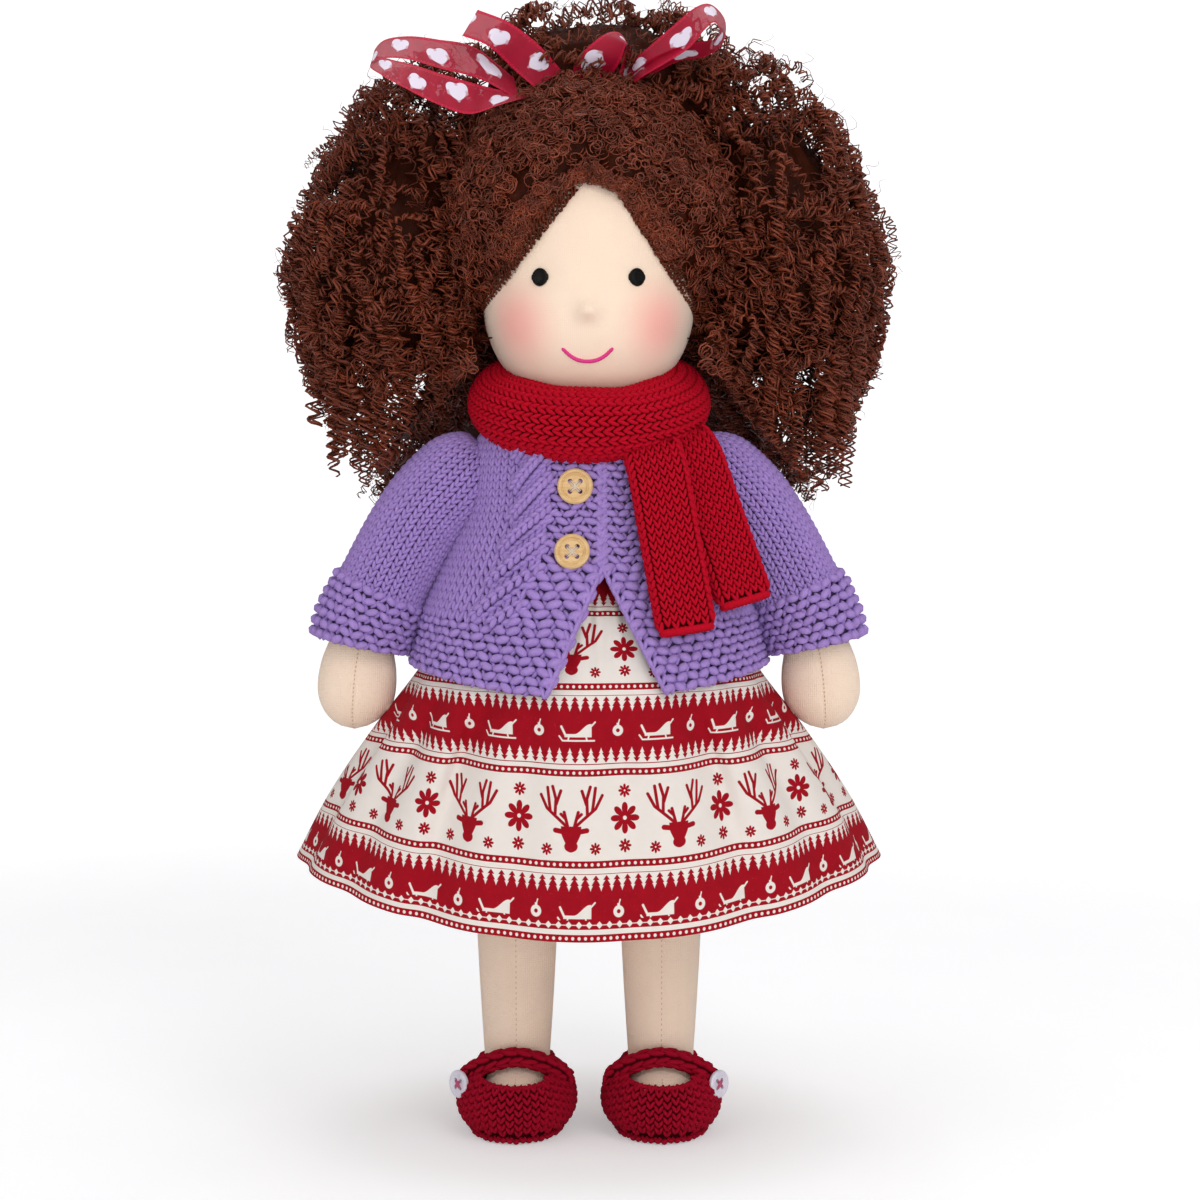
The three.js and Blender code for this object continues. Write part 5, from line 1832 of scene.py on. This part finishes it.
class DOLL_OT_ribbon(bpy.types.Operator):
    """Tie the organza ribbon on top of the hair"""

    bl_idname = "doll.ribbon"
    bl_label = "Ribbon"

    width = 13

    def execute(self, context):
        organza = self.organza()
        pieces = [self.strip(name, edges, organza) for name, edges in RIBBON_STRIPS.items()]
        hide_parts("hair_ribbon")
        self.knot(organza)
        return {"FINISHED"}

    def strip(self, name, edges, material):
        """One loop or end of the ribbon, between its two edges."""
        keys = [(i, *self.full_width(picture_point(*a), picture_point(*b))) for i, (a, b) in enumerate(edges)]
        middles = [(Vector(key[1:4]) + Vector(key[4:7])) / 2 for key in keys]
        length = lengths_along(middles)[-1]

        def place(u, v):
            values = smooth(keys, v * (len(keys) - 1))
            return Vector(values[3:]).lerp(Vector(values[:3]), u)

        bm = scale_flat(surface(14, 110, place, closed=False), self.width, length)
        piece = finish_piece(bm, f"ribbon_{name}", material, "head")
        self.width * MM
        return piece

    def full_width(self, upper, lower):
        """Both edge points, the lower one brought forward until the ribbon has its width."""
        seen = math.hypot(upper.x - lower.x, upper.z - lower.z)
        hidden = math.sqrt(max(self.width**2 - seen**2, 0))
        lower = Vector((lower.x, upper.y - hidden, lower.z))
        return (*upper, *lower)

    def knot(self, material):
        """The tight wrap that gathers the loops."""
        centre = picture_point(598, 86, -6)

        def place(u, v):
            angle = TURN * u
            tight = 1 - 0.22 * math.sin(math.pi * v)
            x, y = 4.2 * tight * math.cos(angle), 3.4 * tight * math.sin(angle)
            return centre + Vector((x, y, 11 * (v - 0.5)))

        bm = scale_flat(surface(40, 16, place), 24, 11)
        finish_piece(bm, "ribbon_knot", material, "head")

    def organza(self):
        """Sheer ribbon with woven edges and printed hearts."""
        finish = Finish("ribbon_organza", {"Specular IOR Level": 0.3})
        across, along = finish.flat()
        row = along.repeat(30)
        hearts = self.heart(row - 8, across - 7.8, 0.25).high(self.heart(row - 23, across - 5.2, -0.3))
        edge = abs(across - self.width / 2).step(self.width / 2 - 1.35, self.width / 2 - 0.95)
        stitch = (along * 5.2).wave() * 0.5 + 0.5
        weave = (along * 11.0).wave() * (across * 11.0).wave()
        tone = colours().ribbon
        bright = (min(tone[0] * 1.25, 1), tone[1] * 1.3, tone[2] * 1.2, 1)
        cloth = (weave * 0.3 + along.wave() * 0.12 + 0.5).between(toned(tone, 0.62), tone)
        cloth = (edge * (0.35 + stitch * 0.5)).between(cloth, bright)
        colour = hearts.between(cloth, screen_colour(232, 222, 238))
        alpha = (edge.high(hearts) * 0.07 + 0.93 + weave * 0.05).low(1)
        height = edge * (0.6 + stitch * 0.4) + hearts * 0.4 + weave * 0.15
        bump = finish.bump(height, 0.15)
        return finish.paint(Base_Color=colour, Alpha=alpha, Roughness=0.5 + weave * 0.1, Normal=bump)

    def heart(self, x, y, lean):
        """A printed heart with its point towards -y."""
        right = (x * math.cos(lean) + y * math.sin(lean)) / 3.2
        up = (y * math.cos(lean) - x * math.sin(lean)) / 3.2 + 0.12
        ring = right * right + up * up - 1
        value = ring * ring * ring - right * right * (up * up * up)
        return value.step(0.05, -0.05)


# Buttons


def lathe(profile, steps=40):
    """A turned form about Z through a profile of (radius, height)."""

    def place(u, v):
        at = v * (len(profile) - 1)
        i = min(int(at), len(profile) - 2)
        (r0, h0), (r1, h1) = profile[i], profile[i + 1]
        share = at - i
        radius, height = r0 + (r1 - r0) * share, h0 + (h1 - h0) * share
        return Vector((radius * math.cos(TURN * u), radius * math.sin(TURN * u), height))

    return surface(steps, len(profile) - 1, place)


def minus(bm, cutters):
    """One bmesh with others cut out of it."""
    objects = []
    for part in (bm, join(cutters)):
        mesh = bpy.data.meshes.new("cut")
        part.to_mesh(mesh)
        part.free()
        objects.append(bpy.data.objects.new("cut", mesh))
        bpy.context.collection.objects.link(objects[-1])
    modifier = objects[0].modifiers.new("holes", "BOOLEAN")
    modifier.object = objects[1]
    modifier.operation = "DIFFERENCE"
    evaluated = objects[0].evaluated_get(bpy.context.evaluated_depsgraph_get())
    whole = bmesh.new()
    whole.from_mesh(evaluated.to_mesh())
    evaluated.to_mesh_clear()
    for obj in objects:
        bpy.data.meshes.remove(obj.data)
    return whole


class DOLL_OT_buttons(bpy.types.Operator):
    """Turn the wooden and the white buttons and sew them on"""

    bl_idname = "doll.buttons"
    bl_label = "Buttons"

    wood_places = (("upper", -4.4, 226.5), ("lower", -5.4, 204.5))
    # Turned forms: (radius, height) from the middle of the front to the middle of the back
    wood_profile = (
        (0, 1.0), (3.6, 1.0), (4.15, 1.45), (4.35, 1.2), (4.65, 1.2), (4.85, 1.65), (5.5, 1.7), (6.0, 1.3),
        (6.1, 0.6), (5.9, -0.3), (5.2, -0.8), (0, -0.9),
    )
    white_profile = (
        (0, 0.55), (2.5, 0.55), (3.1, 0.9), (3.5, 1.0), (4.4, 0.95), (4.8, 0.6), (4.9, 0.1), (4.7, -0.5),
        (0, -0.7),
    )
    white_turn = math.radians(48)

    def execute(self, context):
        wood, white = self.wood(), self.pearl()
        wood_thread = thread_material("button_thread", screen_colour(236, 214, 190))
        white_thread = thread_material("shoe_button_thread", screen_colour(205, 90, 130))
        for word, x, z in self.wood_places:
            depth = smooth(CARDIGAN, z)[1]
            lean = math.atan2(smooth(CARDIGAN, z - 6)[1] - smooth(CARDIGAN, z + 6)[1], 12)
            facing = Vector((x / 40, -math.cos(lean), math.sin(lean) * 0.9)).normalized()
            centre = Vector((x, -depth - 1.6, z))
            self.button(
                f"wood_button_{word}", self.wood_profile, centre, facing, 0.82, 1.75, wood, "button_wood",
                "torso", wood_thread, [f"wood_button_{word}", f"wood_button_thread_{word}"],
            )
        for word, sign in SIDES:
            facing = Vector((sign * math.sin(self.white_turn), -math.cos(self.white_turn), 0.05)).normalized()
            centre = Vector((sign * (HIP.x + 16.6), -12.6, 17.5)) + facing * 4.4
            self.button(
                f"shoe_button_{word}", self.white_profile, centre, facing, 0.68, 1.3, white, "button_white",
                f"leg_{word}", white_thread, [f"shoe_button_{word}", f"shoe_button_thread_{word}"],
            )
        return {"FINISHED"}

    def button(self, name, profile, centre, facing, hole, spread, material, slot, body, thread, replaced):
        """A turned button with four holes and a cross of thread through them."""
        up = Vector((0, 0, 1))
        side = up.cross(facing).normalized()
        up = facing.cross(side)
        placed = axes_matrix(side, up, facing, centre)
        holes = [(x * spread, y * spread) for x in (-1, 1) for y in (-1, 1)]
        cutters = []
        for x, y in holes:
            cutter = bmesh.new()
            bmesh.ops.create_cone(
                cutter, cap_ends=True, segments=14, radius1=hole, radius2=hole, depth=8,
                matrix=Matrix.Translation((x, y, 0)),
            )
            cutters.append(cutter)
        disc = minus(lathe(profile, 64), cutters)
        bmesh.ops.transform(disc, matrix=placed, verts=disc.verts)
        piece = finish_piece(disc, f"{name}_disc", material, body, replaced[:1])
        self.crisp_rims(piece)
        self.cross(name, profile, placed, holes, thread, body, replaced[1:])

    def crisp_rims(self, piece):
        """Keeps the turned rims crisp."""
        modifier = piece.modifiers.new("rims", "EDGE_SPLIT")
        modifier.split_angle = math.radians(35)

    def cross(self, name, profile, placed, holes, thread, body, replaced):
        """Two crossing strands of sewing thread that go down the holes."""
        stitches = Stitches()
        height = profile[0][1]
        for (x0, y0), (x1, y1) in ((holes[0], holes[3]), (holes[1], holes[2])):
            for shift in (-0.3, 0.3):
                middle = placed @ Vector(((x0 + x1) / 2, (y0 + y1) / 2, height))
                along = placed.to_3x3() @ Vector((x1 - x0, y1 - y0, 0))
                facing = placed.to_3x3() @ Vector((0, 0, 1))
                spot = Spot(middle, along.cross(facing), along, facing)
                stitches.lobe(lobe_matrix(spot, 0.0, 0.62, along.length * 1.05, 0.7, shift, 0.18), 8, 8)
        stitches.finish(f"{name}_cross", thread, body, "sewing_thread", replaced)

    def wood(self):
        """Pale wood with growth rings, sanded and oiled."""
        finish = Finish("button_wood", {"Coat Weight": 0.15, "Coat Roughness": 0.4})
        points = finish.points()
        stretched = points.vector("MULTIPLY", (0.25, 1.0, 1.6))
        grain = (stretched.noise(1.1, 4.0) * 9.0 + points.axis("Z") * 1.2).wave() * 0.5 + 0.5
        fine = points.vector("MULTIPLY", (0.4, 1, 6)).noise(2.2, 3.0)
        tone = colours().wood
        colour = (grain * 0.45 + fine * 0.5 + 0.1).between(toned(tone, 0.72, 0.6, 0.45), tone)
        bump = finish.bump(grain + fine, 0.05)
        return finish.paint(Base_Color=colour, Roughness=0.42 + fine * 0.2, Normal=bump)

    def pearl(self):
        """White moulded plastic with a faint pearly swirl."""
        finish = Finish("button_white", {"Coat Weight": 0.3, "Coat Roughness": 0.2})
        points = finish.points()
        swirl = points.noise(0.7, 3.0)
        colour = swirl.between((0.62, 0.58, 0.7, 1), (0.82, 0.8, 0.86, 1))
        bump = finish.bump(points.noise(2.0), 0.02)
        return finish.paint(Base_Color=colour, Roughness=0.3 + swirl * 0.15, Normal=bump)


# Shoes

# Upper: rings of (height, half width, half length), and the middle of the shoe along Y
SHOE = [
    (3.3, 16.4, 23.8), (7.5, 18.9, 26.6), (12, 19.5, 27.2), (17, 18.2, 25.6), (21, 15.4, 22.2), (24, 11, 16.5),
    (25.6, 5, 8),
]
SHOE_TOP = 25.4
SHOE_MIDDLE = -6.5
# Strap: (position, x from the leg, y, height)
STRAP = [
    (0, -17.4, -9.5, 13.5), (1, -15.6, -13.5, 21.5), (2, 0, -17, 27.4), (3, 15.6, -13.5, 21.5),
    (4, 17.4, -9.5, 13.5),
]
# Opening: its half width and half length, its middle along Y, and its lowest height
OPENING = (13.6, 17.4)
OPENING_MIDDLE = -12.8
OPENING_LOW = 13.5


def tube_place(keys, radius):
    """place(u, v) on a cord through keys of (position, x, y, z)."""
    first, last = keys[0][0], keys[-1][0]

    def place(u, v):
        at = first + (last - first) * v
        centre = Vector(smooth(keys, at))
        ahead = (Vector(smooth(keys, at + 0.02)) - Vector(smooth(keys, at - 0.02))).normalized()
        side = ahead.cross(Vector((0, -1, 0.4))).normalized()
        up = ahead.cross(side)
        angle = TURN * u
        return centre + (side * math.cos(angle) + up * math.sin(angle)) * radius

    return place


class DOLL_OT_shoes(bpy.types.Operator):
    """Crochet the shoes with their soles and straps"""

    bl_idname = "doll.shoes"
    bl_label = "Shoes"

    rim_stitches = 46
    sole_half_width, sole_half_length = 15.4, 22.8

    def execute(self, context):
        yarn = yarn_material("shoe_yarn", colours().shoes, 0.5, 0.22)
        # Painted shade: the lining, the strap core and the sole base are the shoe yarn darkened.
        ground = shade_ground_material("shoe_shade_ground", colours().shoes, 0.25)
        for word, sign in SIDES:
            self.shoe(word, sign, yarn, ground)
        return {"FINISHED"}

    def shoe(self, word, sign, yarn, ground):
        """One shoe: the lining, the stitches of the upper, the sole and the strap."""
        x = sign * HIP.x
        body = f"leg_{word}"
        move = Vector((x, SHOE_MIDDLE, 0))

        def placed(grow, low, high):
            rings = [(z, width + grow, length + grow) for z, width, length in SHOE]
            plain = ring_place(rings, low, high)
            return lambda u, v: plain(u, v) + move

        def in_opening(point):
            across, ahead = (point.x - x) / OPENING[0], (point.y - OPENING_MIDDLE) / OPENING[1]
            return point.z > OPENING_LOW and across * across + ahead * ahead < 1

        lining = surface(64, 30, placed(-0.9, SHOE[0][0], SHOE_TOP))
        remove_faces(lining, in_opening)
        finish_piece(lining, f"shoe_lining_{word}", ground, body)
        stitches = Stitches()
        columns = 2 * round(73 / size_of("crochet"))
        upper = placed(0, 3.6, SHOE_TOP)
        stockinette(
            stitches, upper, columns, 9, keep=lambda spot: not in_opening(spot.origin),
            stagger=0.5, open_v=0.55, overlap=1.1,
        )
        self.rim(stitches, x)
        stitches.finish(f"shoe_stitches_{word}", yarn, body, "shoe_crochet", [f"shoe_upper_{word}"])
        self.sole(word, x, body, yarn, ground)
        strap = Stitches()
        keys = [(i, x + across, y, z) for i, across, y, z in STRAP]
        stockinette(strap, tube_place(keys, 2.0), 4, 16, stagger=0.5)
        strap.finish(f"shoe_strap_stitches_{word}", yarn, body, "shoe_crochet", [f"shoe_strap_{word}"])
        core = surface(12, 40, tube_place(keys, 1.6))
        finish_piece(core, f"shoe_strap_core_{word}", ground, body)

    def rim(self, stitches, x):
        """A chain of stitches round the opening, where it cuts the rounded upper."""
        count = self.rim_stitches
        points = []
        for i in range(count):
            angle = TURN * i / count
            across = OPENING[0] * math.cos(angle)
            ahead = OPENING_MIDDLE + OPENING[1] * math.sin(angle) - SHOE_MIDDLE
            low, high = 12.0, SHOE[-1][0]
            for _ in range(20):
                middle = (low + high) / 2
                width, length = smooth(SHOE, middle)
                inside = (across / width) ** 2 + (ahead / length) ** 2 < 1
                low, high = (middle, high) if inside else (low, middle)
            points.append(Vector((x + across, ahead + SHOE_MIDDLE, low)))
        for i, point in enumerate(points):
            along = points[(i + 1) % count] - points[i - 1]
            out = (point - Vector((x, OPENING_MIDDLE, 14))).normalized()
            spot = Spot(point, along, out.cross(along), out)
            stitches.lobe(lobe_matrix(spot, math.pi / 2 - 0.4, 1.9, along.length * 0.95, 1.9, 0, 0.2), 7, 5)

    def sole(self, word, x, body, yarn, ground):
        """A flat crocheted sole with a rounded edge of stitches."""
        profile = [(0.01, 0.0), (0.9, 0.0), (0.99, 0.6), (1.0, 1.6), (0.98, 2.6), (0.9, 3.0), (0.01, 3.0)]

        def stretched(bm):
            bmesh.ops.scale(bm, vec=(self.sole_half_width, self.sole_half_length, 1), verts=bm.verts)
            bmesh.ops.translate(bm, vec=(x, SHOE_MIDDLE, 0), verts=bm.verts)
            return bm

        finish_piece(stretched(lathe(profile, 64)), f"shoe_sole_base_{word}", ground, body)
        stitches = Stitches()
        edge = ring_place([(0.2, 14.0, 21.6), (1.6, 15.2, 22.8), (3.2, 16.0, 23.6)], 0.75, 2.6)
        move = Vector((x, SHOE_MIDDLE, 0))
        purl(stitches, lambda u, v: edge(u, v) + move, 44, 1, random.Random(84))
        stitches.finish(f"shoe_sole_stitches_{word}", yarn, body, "shoe_crochet", [f"shoe_sole_{word}"])


class DOLL_PT_panel(bpy.types.Panel):
    """The doll's settings and its building steps"""

    bl_idname = "DOLL_PT_panel"
    bl_label = "Waldorf Doll"
    bl_space_type = "VIEW_3D"
    bl_region_type = "UI"
    bl_category = "Doll"

    def draw(self, context):
        for group in (context.scene.doll_colours, context.scene.doll_sizes):
            for name in group.__annotations__:
                self.layout.prop(group, name)
        for step in STEPS:
            self.layout.operator(step.bl_idname)


STEPS = (
    DOLL_OT_body,
    DOLL_OT_face,
    DOLL_OT_hair,
    DOLL_OT_ribbon,
    DOLL_OT_skirt,
    DOLL_OT_cardigan,
    DOLL_OT_buttons,
    DOLL_OT_scarf,
    DOLL_OT_shoes,
    DOLL_OT_stage,
)
CLASSES = (DollColours, DollSizes, *STEPS, DOLL_PT_panel)


def register():
    """Adds the doll's settings, steps and panel."""
    for cls in CLASSES:
        bpy.utils.register_class(cls)
    bpy.types.Scene.doll_colours = PointerProperty(type=DollColours)
    bpy.types.Scene.doll_sizes = PointerProperty(type=DollSizes)


def unregister():
    """Removes them again."""
    del bpy.types.Scene.doll_sizes
    del bpy.types.Scene.doll_colours
    for cls in reversed(CLASSES):
        bpy.utils.unregister_class(cls)


def main():
    """Builds the whole doll."""
    register()
    for step in STEPS:
        group, name = step.bl_idname.split(".")
        getattr(getattr(bpy.ops, group), name)()


if __name__ == "__main__":
    main()
